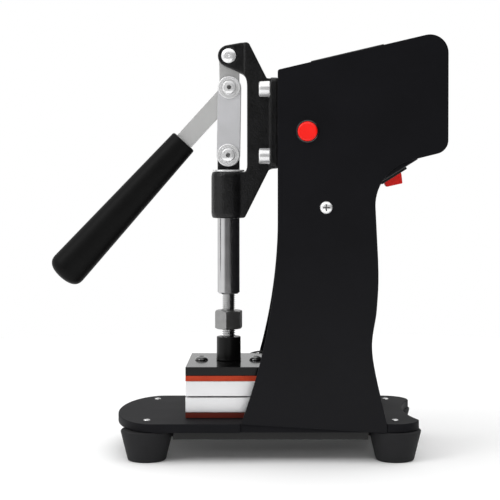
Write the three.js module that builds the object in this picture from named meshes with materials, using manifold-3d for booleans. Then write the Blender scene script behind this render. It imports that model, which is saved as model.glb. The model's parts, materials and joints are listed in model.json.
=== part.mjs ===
// A small hand press with two heated platens: a toggle clamp on a sheet-metal stand drives the upper platen
// down on the lower one.
// Millimetres, +Z up. X is measured from the plunger's axis, the stand is on the +X side, Y = 0 is the middle
// plane and Z = 0 is the table. The whole press is moved at the end so that its origin is under its middle.

import * as THREE from "three";
import { mergeVertices } from "three/addons/utils/BufferGeometryUtils.js";
import Module from "manifold-3d";

const wasm = await Module();
wasm.setup();

// ---- Driving sizes ----

const SEAT = 0.1; // left between faces that rest on each other
const FIT = 0.3; // left around a piece in its hole, bore or slot
const ROUND = 24; // sides of a large round piece
const SMALL = 16; // sides of a small round piece

const foot = {
  topRadius: 18, bottomRadius: 13.5, height: 21.2, lip: 2, edge: 1.2, frontX: -55, rearX: 116.4,
  inset: 16.5,
};
const base = {
  thickness: 6, halfWidth: 61.5, frontX: -78.9, rearX: 133.2, frontRound: 29.5, rearRound: 19,
  scallop: 7.9,
};
const pan = { depth: 5.4, halfWidth: 56, wall: 1.2, footGap: 1 };

const sheet = { panel: 1.5, cover: 1.5, inset: 0.3, switchPlate: 2 };
const head = {
  frontX: 35.4, frontZ: 268, rearX: 151, slope: 13.2, topRound: 12.5, rearRound: 9.5, frontRound: 2,
  seamDrop: 33,
};
const underside = { rearZ: 213, slope: 14, throatRound: 31.8 };
const back = {
  x: 101.7, bulge: 2.1, bulgeZ: 131, lean: 1, leanZ: 105, waist: -1.9, waistZ: 75, foot: 8.1,
};
const sweep = { topZ: 165, radius: 390 };
const facet = { slope: 32, proud: 3.5, flange: 5, flangeMargin: 1.5 };

const tie = {
  x: 68.3, z: 174.7, radius: 5, screwRadius: 2, screwLength: 12, headRadius: 4.3, headHeight: 1.8,
};
const button = {
  x: 55.6, z: 226.3, capRadius: 6.75, wall: 0.5, rimRadius: 8, rim: 1.6, proud: 3.1, depth: 18,
  capDepth: 8, travel: 2,
};
const rocker = {
  offset: -2, halfLength: 9.1, halfWidth: 6.1, wall: 0.7, flange: 1.4, rim: 4.2, depth: 14,
  crest: 2.3, lift: 11.4, shoulder: 5.3, heel: 7.5, foot: 3,
};

const platen = { halfX: 28.85, halfY: 37.5, thickness: 10.5, gap: 0.8, heaterRadius: 3.2, heaterLength: 66 };
const insulation = { thickness: 3.7 };
const topPlate = { thickness: 6, screwX: 19.5, screwRadius: 2, headRadius: 4.75, headHeight: 2.75, socket: 3 };
const boss = { bottomRadius: 8.9, topRadius: 8.7, height: 17, floor: 2.8 };
const screw = { radius: 4.75, inRod: 15, nutLift: 5.7, nutHeight: 13.2, nutFlats: 18 };
const rod = { radius: 8, bottomZ: 111, topZ: 188, spigotRadius: 4, spigot: 10 };
const plungerHead = { shoulder: 6.3 };

const pivot = { x: 0.4, z: 281.4, pinRadius: 5.2 }; // the lever's fixed pivot
const knee = { x: 0.8, z: 258.9, pinRadius: 4 }; // lever to links, just past the line between the other two
const wrist = { x: 0, z: 210.6, pinRadius: 4 }; // links to plunger
const link = { radius: 8.25, thickness: 3, gap: 0.4 };
const collarHead = { flangeRadius: 8.1, flange: 1.2, radius: 5, height: 2.8, socket: 3 };
const lever = {
  half: 3, hubWidth: 14.3, armWidth: 13.3, bendX: 1, bendZ: 256.6, angle: 47.6, gripAt: 49,
  tang: 58,
};
const grip = { length: 132, startRadius: 9.9, endRadius: 13.5, roundLength: 9, flatten: 0.74, chamfer: 0.8 };

const collar = { radius: 12.4, endRadius: 11.9, bottomZ: 165.3, topZ: 198.8 };
const bush = { wall: 1.7, rimRadius: 11.4, rim: 1.2 };
const spine = { frontX: 13.5, half: 9, earHalf: 8.2, earRadius: 7.8, creaseX: 11.8, topZ: 291.1, topX: 14.6 };
const flange = { thickness: 4.9, half: 22, bottomZ: 200.9, topZ: 265.4, round: 4 };
const bolt = { y: 15, lowerZ: 209.9, upperZ: 257.4, headRadius: 5.6, head: 8, radius: 3, socket: 5 };
const backing = { thickness: 6, half: 30, margin: 6 };

const controller = {
  x: 84, halfU: 26, halfY: 39, lip: 4, rim: 2, depth: 16, windowU: 9, windowHalf: 11, windowY: 32,
};
const key = { u: -14, spacing: 20, radius: 4.1, proud: 1, depth: 5, travel: 1.2 };
const inlet = {
  z: 244, halfY: 15.5, halfZ: 12.5, lip: 2, rim: 2.2, cavityY: 12, cavityZ: 8.2, depth: 16,
  pin: 10.5,
};
const board = {
  x0: 62, x1: 128, z0: 216, z1: 258, thickness: 1.6, standoff: 10, standoffRadius: 3, inset: 5,
};
const lead = { radius: 0.7, y: 41.8, wallZ: 59.6 };

// ---- Sizes worked out from those ----

const radians = (degrees) => THREE.MathUtils.degToRad(degrees);
const baseBottom = foot.height + SEAT;
const baseTop = baseBottom + base.thickness;
const panelInner = base.halfWidth - sheet.panel;
const coverHalf = panelInner - FIT;
const topSlope = Math.tan(radians(head.slope));
const sweepX = (z) => {
  const below = sweep.topZ - z;
  return head.frontX - sweep.radius + Math.sqrt(sweep.radius ** 2 - below ** 2);
};
const panelFrontX = sweepX(baseTop);
const panelRearX = back.x + back.foot;

const lowerPlatenZ = baseTop + SEAT + insulation.thickness + SEAT;
const upperPlatenZ = lowerPlatenZ + platen.thickness + platen.gap;
const upperInsulationZ = upperPlatenZ + platen.thickness + SEAT;
const topPlateZ = upperInsulationZ + insulation.thickness + SEAT;
const topPlateTop = topPlateZ + topPlate.thickness;
const bossZ = topPlateTop + SEAT;
const screwBore = screw.radius + FIT;

const footY = base.halfWidth - foot.inset;
const linkInner = lever.half + link.gap;
const linkOuter = linkInner + link.thickness;
const bushRadius = rod.radius + FIT + bush.wall;
const flangeX = head.frontX - FIT - flange.thickness;
const wallRear = head.frontX + sheet.cover;

// ---- Shape helpers ----

const point = (x, z) => new THREE.Vector2(x, z);

// A solid from a closed three.js geometry, or the solid itself.
function solidOf(shape) {
  if (!shape.isBufferGeometry) return shape;
  shape.deleteAttribute("normal");
  shape.deleteAttribute("uv");
  const merged = mergeVertices(shape, 1e-4);
  const mesh = new wasm.Mesh({
    numProp: 3,
    vertProperties: merged.attributes.position.array,
    triVerts: new Uint32Array(merged.index.array),
  });
  return new wasm.Manifold(mesh);
}

const join = (...shapes) => shapes.map(solidOf).reduce((a, b) => a.add(b));
const cut = (shape, ...tools) => tools.map(solidOf).reduce((a, b) => a.subtract(b), solidOf(shape));
const common = (...shapes) => shapes.map(solidOf).reduce((a, b) => a.intersect(b));

function geometryOf(solid) {
  const mesh = solid.getMesh();
  const geometry = new THREE.BufferGeometry();
  geometry.setAttribute("position", new THREE.BufferAttribute(mesh.vertProperties, 3));
  geometry.setIndex(new THREE.BufferAttribute(mesh.triVerts, 1));
  geometry.computeVertexNormals();
  return geometry;
}

function block(x0, x1, y0, y1, z0, z1) {
  const box = new THREE.BoxGeometry(x1 - x0, y1 - y0, z1 - z0);
  return box.translate((x0 + x1) / 2, (y0 + y1) / 2, (z0 + z1) / 2);
}

const extrude = (shape, depth, curveSegments) =>
  new THREE.ExtrudeGeometry(shape, { depth, bevelEnabled: false, curveSegments });

// An outline in X and Y, from z0 up to z1.
const slabZ = (shape, z0, z1, curveSegments = 8) => extrude(shape, z1 - z0, curveSegments).translate(0, 0, z0);

// An outline in X and Z, from y0 to y1.
const slabY = (shape, y0, y1, curveSegments = 8) =>
  extrude(shape, y1 - y0, curveSegments).rotateX(Math.PI / 2).translate(0, y1, 0);

// An outline in Y and Z, from x0 to x1.
const slabX = (shape, x0, x1, curveSegments = 6) =>
  extrude(shape, x1 - x0, curveSegments).rotateX(Math.PI / 2).rotateZ(Math.PI / 2).translate(x0, 0, 0);

// A profile of [radius, height] pairs turned about Z.
function turned(profile, sides = ROUND) {
  const points = profile.map(([r, z]) => point(r, z));
  if (THREE.ShapeUtils.area(points) < 0) points.reverse();
  return new THREE.LatheGeometry(points, sides).rotateX(Math.PI / 2);
}

function rodZ(radius, z0, z1, sides = ROUND) {
  const cylinder = new THREE.CylinderGeometry(radius, radius, z1 - z0, sides);
  return cylinder.rotateX(Math.PI / 2).translate(0, 0, (z0 + z1) / 2);
}

// Turns what was made along +Z to point along -Y or +Y, and puts its origin at x, y, z.
const alongY = (shape, side, x, y, z) => shape.rotateX((-side * Math.PI) / 2).translate(x, y, z);

// The same along +X.
const alongX = (shape, x, y, z) => shape.rotateY(Math.PI / 2).translate(x, y, z);

const rodY = (radius, y0, y1, x, z, sides = SMALL) => alongY(rodZ(radius, y0, y1, sides), 1, x, 0, z);
const rodX = (radius, x0, x1, y, z, sides = SMALL) => alongX(rodZ(radius, x0, x1, sides), 0, y, z);

const polygon = (points) => new THREE.Shape(points);

// A bar with round ends between two places in X and Z.
function barShape(x0, z0, x1, z1, width) {
  const along = Math.atan2(z1 - z0, x1 - x0);
  const shape = new THREE.Shape();
  shape.absarc(x1, z1, width / 2, along - Math.PI / 2, along + Math.PI / 2, false);
  shape.absarc(x0, z0, width / 2, along + Math.PI / 2, along + (3 * Math.PI) / 2, false);
  return shape;
}

function roundedRectangle(halfA, b0, b1, radius) {
  const shape = new THREE.Shape();
  shape.absarc(halfA - radius, b0 + radius, radius, -Math.PI / 2, 0, false);
  shape.absarc(halfA - radius, b1 - radius, radius, 0, Math.PI / 2, false);
  shape.absarc(radius - halfA, b1 - radius, radius, Math.PI / 2, Math.PI, false);
  shape.absarc(radius - halfA, b0 + radius, radius, Math.PI, (3 * Math.PI) / 2, false);
  return shape;
}

// Draws a line towards a corner and an arc that turns it towards the next place.
function roundTo(path, corner, next, radius) {
  const a = corner.clone().sub(path.currentPoint).normalize();
  const b = next.clone().sub(corner).normalize();
  const turn = Math.atan2(a.cross(b), a.dot(b));
  const side = Math.sign(turn);
  const start = corner.clone().addScaledVector(a, -radius * Math.tan(Math.abs(turn) / 2));
  const centre = start.clone().add(point(-a.y, a.x).multiplyScalar(side * radius));
  const from = Math.atan2(start.y - centre.y, start.x - centre.x);
  path.lineTo(start.x, start.y);
  path.absarc(centre.x, centre.y, radius, from, from + turn, side < 0);
}

// A strip of sheet that lies on the right-hand side of a path, a little in from it.
function strip(path, inset, thickness, segments = 10) {
  const points = path.getPoints(segments).filter((p, i, all) => i === 0 || p.distanceTo(all[i - 1]) > 1e-3);
  const normals = points.map((p, i) => {
    const before = points[Math.max(i - 1, 0)];
    const after = points[Math.min(i + 1, points.length - 1)];
    const along = after.clone().sub(before).normalize();
    return point(along.y, -along.x);
  });
  const offset = (distance) => points.map((p, i) => p.clone().addScaledVector(normals[i], distance));
  return polygon([...offset(inset), ...offset(inset + thickness).reverse()]);
}

// A screw along +Z: its head stands on z = 0 and holds a hexagon socket, its shank goes down.
function socketScrew(headProfile, shankRadius, shankLength, socketFlats, socketDepth) {
  const top = headProfile[0][1];
  const shank = [[shankRadius, 0], [shankRadius, -shankLength], [0, -shankLength]];
  const socketRadius = socketFlats / Math.sqrt(3);
  const socket = new THREE.CylinderGeometry(socketRadius, socketRadius, 2 * socketDepth, 6);
  socket.rotateX(Math.PI / 2).translate(0, 0, top);
  return { body: turned([...headProfile, ...shank], SMALL), socket };
}

const capHead = (radius, height, edge) => [
  [0, height],
  [radius - edge, height],
  [radius, height - edge],
  [radius, 0],
];

const domeHead = (radius, height) => [
  [0, height],
  [radius * 0.5, height],
  [radius * 0.82, height * 0.72],
  [radius, height * 0.2],
  [radius, 0],
];

// A round head on a wide flange, as the link screws have.
const collarProfile = () => {
  const dome = domeHead(collarHead.radius, collarHead.height).map(([r, z]) => [r, z + collarHead.flange]);
  return [...dome, [collarHead.flangeRadius, collarHead.flange], [collarHead.flangeRadius, 0]];
};

// ---- Finishes ----

const finish = (color, roughness, metalness) => new THREE.MeshStandardMaterial({ color, roughness, metalness });
const finishes = {
  paint: finish(0x1b1b1d, 0.42, 0),
  basePaint: finish(0x3a393d, 0.5, 0),
  casting: finish(0x151516, 0.7, 0.1),
  rubber: finish(0x242426, 0.85, 0),
  gripPlastic: finish(0x101011, 0.45, 0),
  steel: finish(0xc4c4c6, 0.3, 1),
  polished: finish(0xb8b8ba, 0.18, 1),
  chrome: finish(0xe6e6e8, 0.1, 1),
  nut: finish(0x8a8a8c, 0.4, 1),
  blackSteel: finish(0x121213, 0.35, 0.4),
  aluminium: finish(0xe4e4e6, 0.35, 1),
  insulation: finish(0xcc4118, 0.6, 0),
  red: finish(0xff2b1e, 0.35, 0),
  blackPlastic: finish(0x111112, 0.5, 0),
  greyPlastic: finish(0x5a5c60, 0.5, 0),
  display: finish(0x220608, 0.15, 0),
  board: finish(0x1d5a35, 0.5, 0),
  silicone: finish(0x1a1a1a, 0.6, 0),
};

const press = new THREE.Group();

function add(name, shape, material, parent = press) {
  const mesh = new THREE.Mesh(geometryOf(solidOf(shape)), material);
  mesh.name = name;
  parent.add(mesh);
  return mesh;
}

const SIDES = { near: -1, far: 1 };

// ---- Feet, base plate and tray ----

function footShape() {
  const profile = [
    [0, 0],
    [foot.bottomRadius - foot.edge, 0],
    [foot.bottomRadius, foot.edge],
    [foot.topRadius, foot.height - foot.lip],
    [foot.topRadius, foot.height],
    [0, foot.height],
  ];
  return turned(profile, ROUND);
}

function baseShape() {
  const { frontX, rearX, halfWidth, frontRound, rearRound, scallop } = base;
  const cornerY = halfWidth - rearRound;
  const scallopRadius = (cornerY ** 2 + scallop ** 2) / (2 * scallop);
  const scallopAngle = Math.asin(cornerY / scallopRadius);
  const scallopX = rearX - scallop + scallopRadius;
  const shape = new THREE.Shape();
  shape.absellipse(frontX + frontRound, 0, frontRound, halfWidth, Math.PI / 2, (3 * Math.PI) / 2, false);
  shape.absarc(rearX - rearRound, -cornerY, rearRound, -Math.PI / 2, 0, false);
  shape.absarc(scallopX, 0, scallopRadius, Math.PI + scallopAngle, Math.PI - scallopAngle, true);
  shape.absarc(rearX - rearRound, cornerY, rearRound, 0, Math.PI / 2, false);
  return shape;
}

function basePlate() {
  const notch = (side) => {
    const edges = [side * (panelInner - FIT), side * (base.halfWidth + 1)].sort((a, b) => a - b);
    return block(panelFrontX - FIT, panelRearX + FIT, ...edges, baseBottom - 1, baseTop + 1);
  };
  return cut(slabZ(baseShape(), baseBottom, baseTop, 16), notch(-1), notch(1));
}

function basePan() {
  const x0 = foot.frontX + foot.topRadius + pan.footGap;
  const x1 = foot.rearX - foot.topRadius - pan.footGap;
  const top = baseBottom - SEAT;
  const hollow = [x0 + pan.wall, x1 - pan.wall, pan.wall - pan.halfWidth, pan.halfWidth - pan.wall];
  const outside = block(x0, x1, -pan.halfWidth, pan.halfWidth, top - pan.depth, top);
  return cut(outside, block(...hollow, top - pan.depth + pan.wall, top + 1));
}

for (const [end, x] of Object.entries({ front: foot.frontX, rear: foot.rearX })) {
  for (const [name, side] of Object.entries(SIDES)) {
    add(`foot_${end}_${name}`, footShape(), finishes.rubber).position.set(x, side * footY, 0);
  }
}
add("base_plate", basePlate(), finishes.basePaint);
add("base_pan", basePan(), finishes.blackPlastic);

// ---- Housing: two side panels and the covers between them ----

const headTopRear = point(head.rearX, head.frontZ + (head.rearX - head.frontX) * topSlope);
const undersideRear = point(head.rearX, underside.rearZ);
const throat = point(back.x, underside.rearZ - (head.rearX - back.x) * Math.tan(radians(underside.slope)));
const throatReach = underside.throatRound * Math.tan(radians(90 - underside.slope) / 2);
const throatCentre = point(back.x + underside.throatRound, throat.y - throatReach);
const backPoints = [
  point(back.x + back.bulge, back.bulgeZ),
  point(back.x + back.lean, back.leanZ),
  point(back.x + back.waist, back.waistZ),
  point(panelRearX, baseTop),
];

// The flat facet across the throat, where the rocker switch sits: u runs up along it and w stands out from it.
const facetAlong = point(Math.cos(radians(facet.slope)), Math.sin(radians(facet.slope)));
const facetOut = point(facetAlong.y, -facetAlong.x);
const facetDepth = underside.throatRound - facet.proud;
const facetHalf = Math.sqrt(underside.throatRound ** 2 - facetDepth ** 2);
const facetPoint = (u, w) =>
  throatCentre.clone().addScaledVector(facetOut, w - facetDepth).addScaledVector(facetAlong, u);
const facetBox = (u0, u1, w0, w1) =>
  polygon([facetPoint(u0, w0), facetPoint(u1, w0), facetPoint(u1, w1), facetPoint(u0, w1)]);

function panelShape() {
  const shape = new THREE.Shape();
  const sweepAngle = Math.asin((sweep.topZ - baseTop) / sweep.radius);
  shape.moveTo(panelFrontX, baseBottom);
  shape.absarc(head.frontX - sweep.radius, sweep.topZ, sweep.radius, -sweepAngle, 0, false);
  roundTo(shape, point(head.frontX, head.frontZ), headTopRear, head.frontRound);
  roundTo(shape, headTopRear, undersideRear, head.topRound);
  roundTo(shape, undersideRear, throat, head.rearRound);
  roundTo(shape, throat, point(back.x, 0), underside.throatRound);
  shape.splineThru(backPoints);
  shape.lineTo(panelRearX, baseBottom);
  return shape;
}

function sidePanel(side) {
  const faces = [side * panelInner, side * base.halfWidth].sort((a, b) => a - b);
  const plate = slabY(panelShape(), ...faces);
  const screwHole = rodY(tie.screwRadius + FIT, faces[0] - 1, faces[1] + 1, tie.x, tie.z);
  return cut(plate, screwHole);
}

function nearPanel() {
  const hole = button.capRadius + FIT + button.wall + FIT;
  return cut(sidePanel(-1), rodY(hole, -base.halfWidth - 1, 1 - panelInner, button.x, button.z, ROUND));
}

function farPanel() {
  const corners = [board.x0, board.x1].flatMap((x, i) =>
    [board.z0, board.z1].map((z, j) => [x + board.inset * (1 - 2 * i), z + board.inset * (1 - 2 * j)]),
  );
  const pillars = corners.map(([x, z]) =>
    rodY(board.standoffRadius, panelInner - board.standoff, panelInner + 0.5, x, z, 12),
  );
  return join(sidePanel(1), ...pillars);
}

function frontWall() {
  const top = head.frontZ - (sheet.inset + sheet.cover) / Math.cos(radians(head.slope)) - FIT;
  const wall = block(head.frontX, wallRear, -coverHalf, coverHalf, baseTop + SEAT, top);
  const leadHole = rodX(lead.radius + 3 * FIT, head.frontX - 1, wallRear + 1, lead.y, lead.wallZ, 12);
  return cut(wall, leadHole, ...boltHoles(head.frontX - 1, wallRear + 1));
}

function topCover() {
  const path = new THREE.Path();
  path.moveTo(head.frontX, head.frontZ);
  roundTo(path, headTopRear, undersideRear, head.topRound);
  path.lineTo(head.rearX, headTopRear.y - head.seamDrop);
  const cover = slabY(strip(path, sheet.inset, sheet.cover), -coverHalf, coverHalf);
  const u = controller.halfU - controller.lip + FIT;
  const y = controller.halfY - controller.lip + FIT;
  const opening = block(-u, u, -y, y, -5, 5).applyMatrix4(controllerFrame.matrix);
  return cut(cover, opening);
}

function rearCover() {
  const path = new THREE.Path();
  const end = facetPoint(facetHalf + 1, 0);
  path.moveTo(head.rearX, headTopRear.y - head.seamDrop - FIT);
  roundTo(path, undersideRear, throat, head.rearRound);
  path.lineTo(end.x, underside.rearZ - (head.rearX - end.x) * Math.tan(radians(underside.slope)));
  const cover = slabY(strip(path, sheet.inset, sheet.cover), -coverHalf, coverHalf);
  const y = inlet.halfY - inlet.lip + FIT;
  const z = inlet.halfZ - inlet.lip + FIT;
  return cut(cover, block(head.rearX - 5, head.rearX + 1, -y, y, inlet.z - z, inlet.z + z));
}

function switchPlate() {
  const half = facetHalf - FIT;
  const plate = slabY(facetBox(-half, half, -sheet.switchPlate, 0), -coverHalf, coverHalf);
  const reach = half - facet.flangeMargin;
  const flanges = [-1, 1].map((side) => {
    const faces = [side * (coverHalf - sheet.cover), side * coverHalf].sort((a, b) => a - b);
    return slabY(facetBox(-reach, reach, -facet.flange, 0), ...faces);
  });
  const u = rocker.halfLength + rocker.wall + FIT;
  const y = rocker.halfWidth + rocker.wall + FIT;
  return cut(join(plate, ...flanges), slabY(facetBox(rocker.offset - u, rocker.offset + u, -5, 5), -y, y));
}

function backWall() {
  const gap = 1.5; // below the facet's lower end, measured round the throat
  const path = new THREE.Path();
  const belowFacet = Math.asin(facetHalf / underside.throatRound) + gap / underside.throatRound;
  const start = belowFacet + radians(90 + facet.slope);
  path.absarc(throatCentre.x, throatCentre.y, underside.throatRound, start, Math.PI, false);
  path.splineThru(backPoints);
  const wall = slabY(strip(path, sheet.inset, sheet.cover, 8), -coverHalf, coverHalf);
  return cut(wall, block(back.x - 20, panelRearX + 20, -panelInner, panelInner, baseBottom, baseTop + SEAT));
}

const controllerFrame = new THREE.Group();
controllerFrame.position.set(controller.x, 0, head.frontZ + (controller.x - head.frontX) * topSlope);
controllerFrame.rotation.y = -radians(head.slope);
controllerFrame.updateMatrix();

const boltPlaces = ["upper", "lower"].flatMap((level) =>
  Object.entries(SIDES).map(([name, side]) => {
    return { name: `${level}_${name}`, y: side * bolt.y, z: bolt[level + "Z"] };
  }),
);
const boltHoles = (x0, x1) => boltPlaces.map(({ y, z }) => rodX(bolt.radius + FIT, x0, x1, y, z));

add("side_panel_near", nearPanel(), finishes.paint);
add("side_panel_far", farPanel(), finishes.paint);
add("front_wall", frontWall(), finishes.paint);
add("top_cover", topCover(), finishes.paint);
add("rear_cover", rearCover(), finishes.paint);
add("switch_plate", switchPlate(), finishes.paint);
add("back_wall", backWall(), finishes.paint);

// ---- Tie bar across the column and its two screws ----

function tieBar() {
  const hole = tie.screwRadius + FIT;
  const depth = tie.screwLength + 1;
  const bores = Object.values(SIDES).map((side) => {
    const faces = [side * (coverHalf - depth), side * (coverHalf + 1)].sort((a, b) => a - b);
    return rodY(hole, ...faces, tie.x, tie.z);
  });
  return cut(rodY(tie.radius, -coverHalf, coverHalf, tie.x, tie.z, SMALL), ...bores);
}

add("tie_bar", tieBar(), finishes.steel);
for (const [name, side] of Object.entries(SIDES)) {
  const profile = domeHead(tie.headRadius, tie.headHeight);
  const { body, socket } = socketScrew(profile, tie.screwRadius, tie.screwLength, 2.5, 1.1);
  const place = (shape) => alongY(shape, side, tie.x, side * (base.halfWidth + SEAT), tie.z);
  add(`side_screw_${name}`, cut(place(body), place(socket)), finishes.chrome);
}

// ---- Clamp frame, its bolts, backing plate and bush ----

function spineShape() {
  const shape = new THREE.Shape();
  const inFlange = flangeX + flange.thickness / 2;
  const inCollar = collar.radius / 2;
  const earTop = radians(100);
  shape.moveTo(inCollar, collar.bottomZ + 0.7);
  shape.lineTo(collar.endRadius, collar.bottomZ + 0.7);
  shape.lineTo(flangeX - 1.2, flange.bottomZ - 0.9);
  shape.lineTo(inFlange, flange.bottomZ);
  shape.lineTo(inFlange, flange.topZ);
  shape.lineTo(flangeX - 2.6, flange.topZ);
  roundTo(shape, point(spine.topX, spine.topZ), point(spine.creaseX - 6, spine.topZ), 3);
  shape.lineTo(spine.creaseX - 3, spine.topZ - 0.3);
  shape.absarc(pivot.x, pivot.z, spine.earRadius, earTop, radians(248), false);
  shape.lineTo(spine.frontX - 4, pivot.z - 12.4);
  shape.quadraticCurveTo(spine.frontX, pivot.z - 14, spine.frontX, pivot.z - 22);
  shape.lineTo(spine.frontX, collar.topZ + 5);
  shape.quadraticCurveTo(spine.frontX, collar.topZ + 0.8, bush.rimRadius + 0.4, collar.topZ - 0.2);
  shape.lineTo(inCollar, collar.topZ - 0.2);
  return shape;
}

function clampFrame() {
  const collarEdge = 3.5;
  const tube = turned([
    [0, collar.bottomZ],
    [collar.endRadius - 0.8, collar.bottomZ],
    [collar.endRadius, collar.bottomZ + 0.8],
    [collar.radius, collar.bottomZ + collarEdge],
    [collar.radius, collar.topZ - collarEdge],
    [collar.endRadius, collar.topZ - 0.8],
    [collar.endRadius - 0.8, collar.topZ],
    [0, collar.topZ],
  ]);
  const web = slabY(spineShape(), -spine.half, spine.half);
  const flangeOutline = roundedRectangle(flange.half, flange.bottomZ, flange.topZ, flange.round);
  const plate = slabX(flangeOutline, flangeX, flangeX + flange.thickness);
  const slot = block(-30, lever.hubWidth / 2 + pivot.x + 1, -linkInner, linkInner, knee.z, spine.topZ + 5);
  const shaved = Object.values(SIDES).map((side) => {
    const faces = [side * spine.earHalf, side * (spine.half + 1)].sort((a, b) => a - b);
    return block(-30, spine.creaseX, ...faces, knee.z, spine.topZ + 5);
  });
  const pinHole = rodY(pivot.pinRadius + FIT, -spine.half - 1, spine.half + 1, pivot.x, pivot.z, SMALL);
  const bore = rodZ(bushRadius + FIT, collar.bottomZ - 1, collar.topZ + 1);
  const holes = [pinHole, bore, ...boltHoles(flangeX - 1, head.frontX + 1)];
  return cut(join(tube, web, plate), slot, ...shaved, ...holes);
}

function backingPlate() {
  const x0 = wallRear + FIT;
  const z0 = bolt.lowerZ - bolt.headRadius - backing.margin;
  const z1 = bolt.upperZ + backing.margin;
  const plate = block(x0, x0 + backing.thickness, -backing.half, backing.half, z0, z1);
  return cut(plate, ...boltHoles(x0 - 1, x0 + backing.thickness + 1));
}

function guideBush() {
  const bore = rod.radius + FIT;
  const seat = collar.topZ + SEAT;
  return turned([
    [bore, collar.bottomZ + SEAT],
    [bushRadius, collar.bottomZ + SEAT],
    [bushRadius, seat],
    [bush.rimRadius, seat],
    [bush.rimRadius, seat + bush.rim],
    [bore, seat + bush.rim],
    [bore, collar.bottomZ + SEAT],
  ]);
}

add("clamp_frame", clampFrame(), finishes.casting);
add("backing_plate", backingPlate(), finishes.steel);
add("guide_bush", guideBush(), finishes.polished);
for (const { name, y, z } of boltPlaces) {
  const length = flange.thickness + 2 * FIT + sheet.cover + backing.thickness;
  const profile = capHead(bolt.headRadius, bolt.head, 0.6);
  const { body, socket } = socketScrew(profile, bolt.radius, length, bolt.socket, 4);
  const place = (shape) => shape.rotateY(-Math.PI / 2).translate(flangeX - SEAT, y, z);
  add(`mount_bolt_${name}`, cut(place(body), place(socket)), finishes.chrome);
}

// ---- Platens ----

const plateBlock = (z, thickness) =>
  block(-platen.halfX, platen.halfX, -platen.halfY, platen.halfY, z, z + thickness);
function heaterBore(z) {
  const end = platen.halfY - platen.heaterLength - 2;
  return rodY(platen.heaterRadius + FIT, end, platen.halfY + 1, 0, z + platen.thickness / 2);
}

const topScrewX = { front: -topPlate.screwX, rear: topPlate.screwX };
const topScrewLength = topPlate.thickness + insulation.thickness + 2 * SEAT + 5;
const screwHoles = (z0, z1) =>
  Object.values(topScrewX).map((x) => rodZ(topPlate.screwRadius + FIT, z0, z1, SMALL).translate(x, 0, 0));

const topPlateShape = () =>
  cut(plateBlock(topPlateZ, topPlate.thickness), ...screwHoles(topPlateZ - 1, topPlateTop + 1));

add("lower_insulation", plateBlock(baseTop + SEAT, insulation.thickness), finishes.insulation);
const lowerPlaten = cut(plateBlock(lowerPlatenZ, platen.thickness), heaterBore(lowerPlatenZ));
add("lower_platen", lowerPlaten, finishes.aluminium);
const upperScrewHoles = screwHoles(upperInsulationZ - 6, topPlateZ + 1);
const upperBlock = plateBlock(upperPlatenZ, platen.thickness);
const upperPlaten = cut(upperBlock, heaterBore(upperPlatenZ), ...upperScrewHoles);
add("upper_platen", upperPlaten, finishes.aluminium);
const insulationHoles = screwHoles(upperInsulationZ - 1, topPlateZ + 1);
const upperInsulation = cut(plateBlock(upperInsulationZ, insulation.thickness), ...insulationHoles);
add("upper_insulation", upperInsulation, finishes.insulation);
add("top_plate", topPlateShape(), finishes.blackSteel);

for (const [name, z] of Object.entries({ lower: lowerPlatenZ, upper: upperPlatenZ })) {
  const end = platen.halfY - 1;
  const heater = rodY(platen.heaterRadius, end - platen.heaterLength, end, 0, z + platen.thickness / 2);
  add(`${name}_heater`, heater, finishes.steel);
}

for (const [name, x] of Object.entries(topScrewX)) {
  const { headRadius: r, headHeight: h } = topPlate;
  const profile = [[0, h], [0.46 * r, h], [0.76 * r, 0.8 * h], [0.93 * r, 0.45 * h], [r, 0.1 * h], [r, 0]];
  const { body, socket } = socketScrew(profile, topPlate.screwRadius, topScrewLength, topPlate.socket, 1.3);
  const place = (shape) => shape.translate(x, 0, topPlateTop + SEAT);
  add(`top_plate_screw_${name}`, cut(place(body), place(socket)), finishes.blackSteel);
}

// ---- Plunger and pressure screw ----

const bossTop = bossZ + boss.height;
const nutZ = bossTop + screw.nutLift;

function platenBoss() {
  return turned([
    [0, bossZ],
    [boss.bottomRadius, bossZ],
    [boss.topRadius, bossTop - 0.5],
    [boss.topRadius - 0.5, bossTop],
    [screwBore, bossTop],
    [screwBore, bossZ + boss.floor],
    [0, bossZ + boss.floor],
  ]);
}

function pressureScrew() {
  const z0 = bossZ + boss.floor + FIT;
  const z1 = rod.bottomZ + screw.inRod;
  const tip = screw.radius - 0.8;
  const r = screw.radius;
  return turned([[0, z0], [tip, z0], [r, z0 + 0.8], [r, z1 - 0.8], [tip, z1], [0, z1]], SMALL);
}

function jamNut() {
  const corner = screw.nutFlats / Math.sqrt(3);
  const edge = screw.nutFlats / 2;
  const top = nutZ + screw.nutHeight;
  const chamfer = 0.7;
  const hexagon = new THREE.CylinderGeometry(corner, corner, screw.nutHeight, 6).rotateX(Math.PI / 2);
  hexagon.rotateZ(radians(-8)).translate(0, 0, nutZ + screw.nutHeight / 2);
  const rim = corner + 0.1;
  const profile = [[0, nutZ], [edge, nutZ], [rim, nutZ + chamfer], [rim, top - chamfer], [edge, top], [0, top]];
  return cut(common(hexagon, turned(profile)), rodZ(screwBore, nutZ - 1, top + 1));
}

function plungerRod() {
  const spigotBore = rod.spigotRadius + FIT;
  return turned([
    [screwBore, rod.bottomZ],
    [rod.radius - 1, rod.bottomZ],
    [rod.radius, rod.bottomZ + 1],
    [rod.radius, rod.topZ],
    [spigotBore, rod.topZ],
    [spigotBore, rod.topZ - rod.spigot - 1],
    [0, rod.topZ - rod.spigot - 1],
    [0, rod.bottomZ + screw.inRod + 2],
    [screwBore, rod.bottomZ + screw.inRod + 2],
    [screwBore, rod.bottomZ],
  ]);
}

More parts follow.
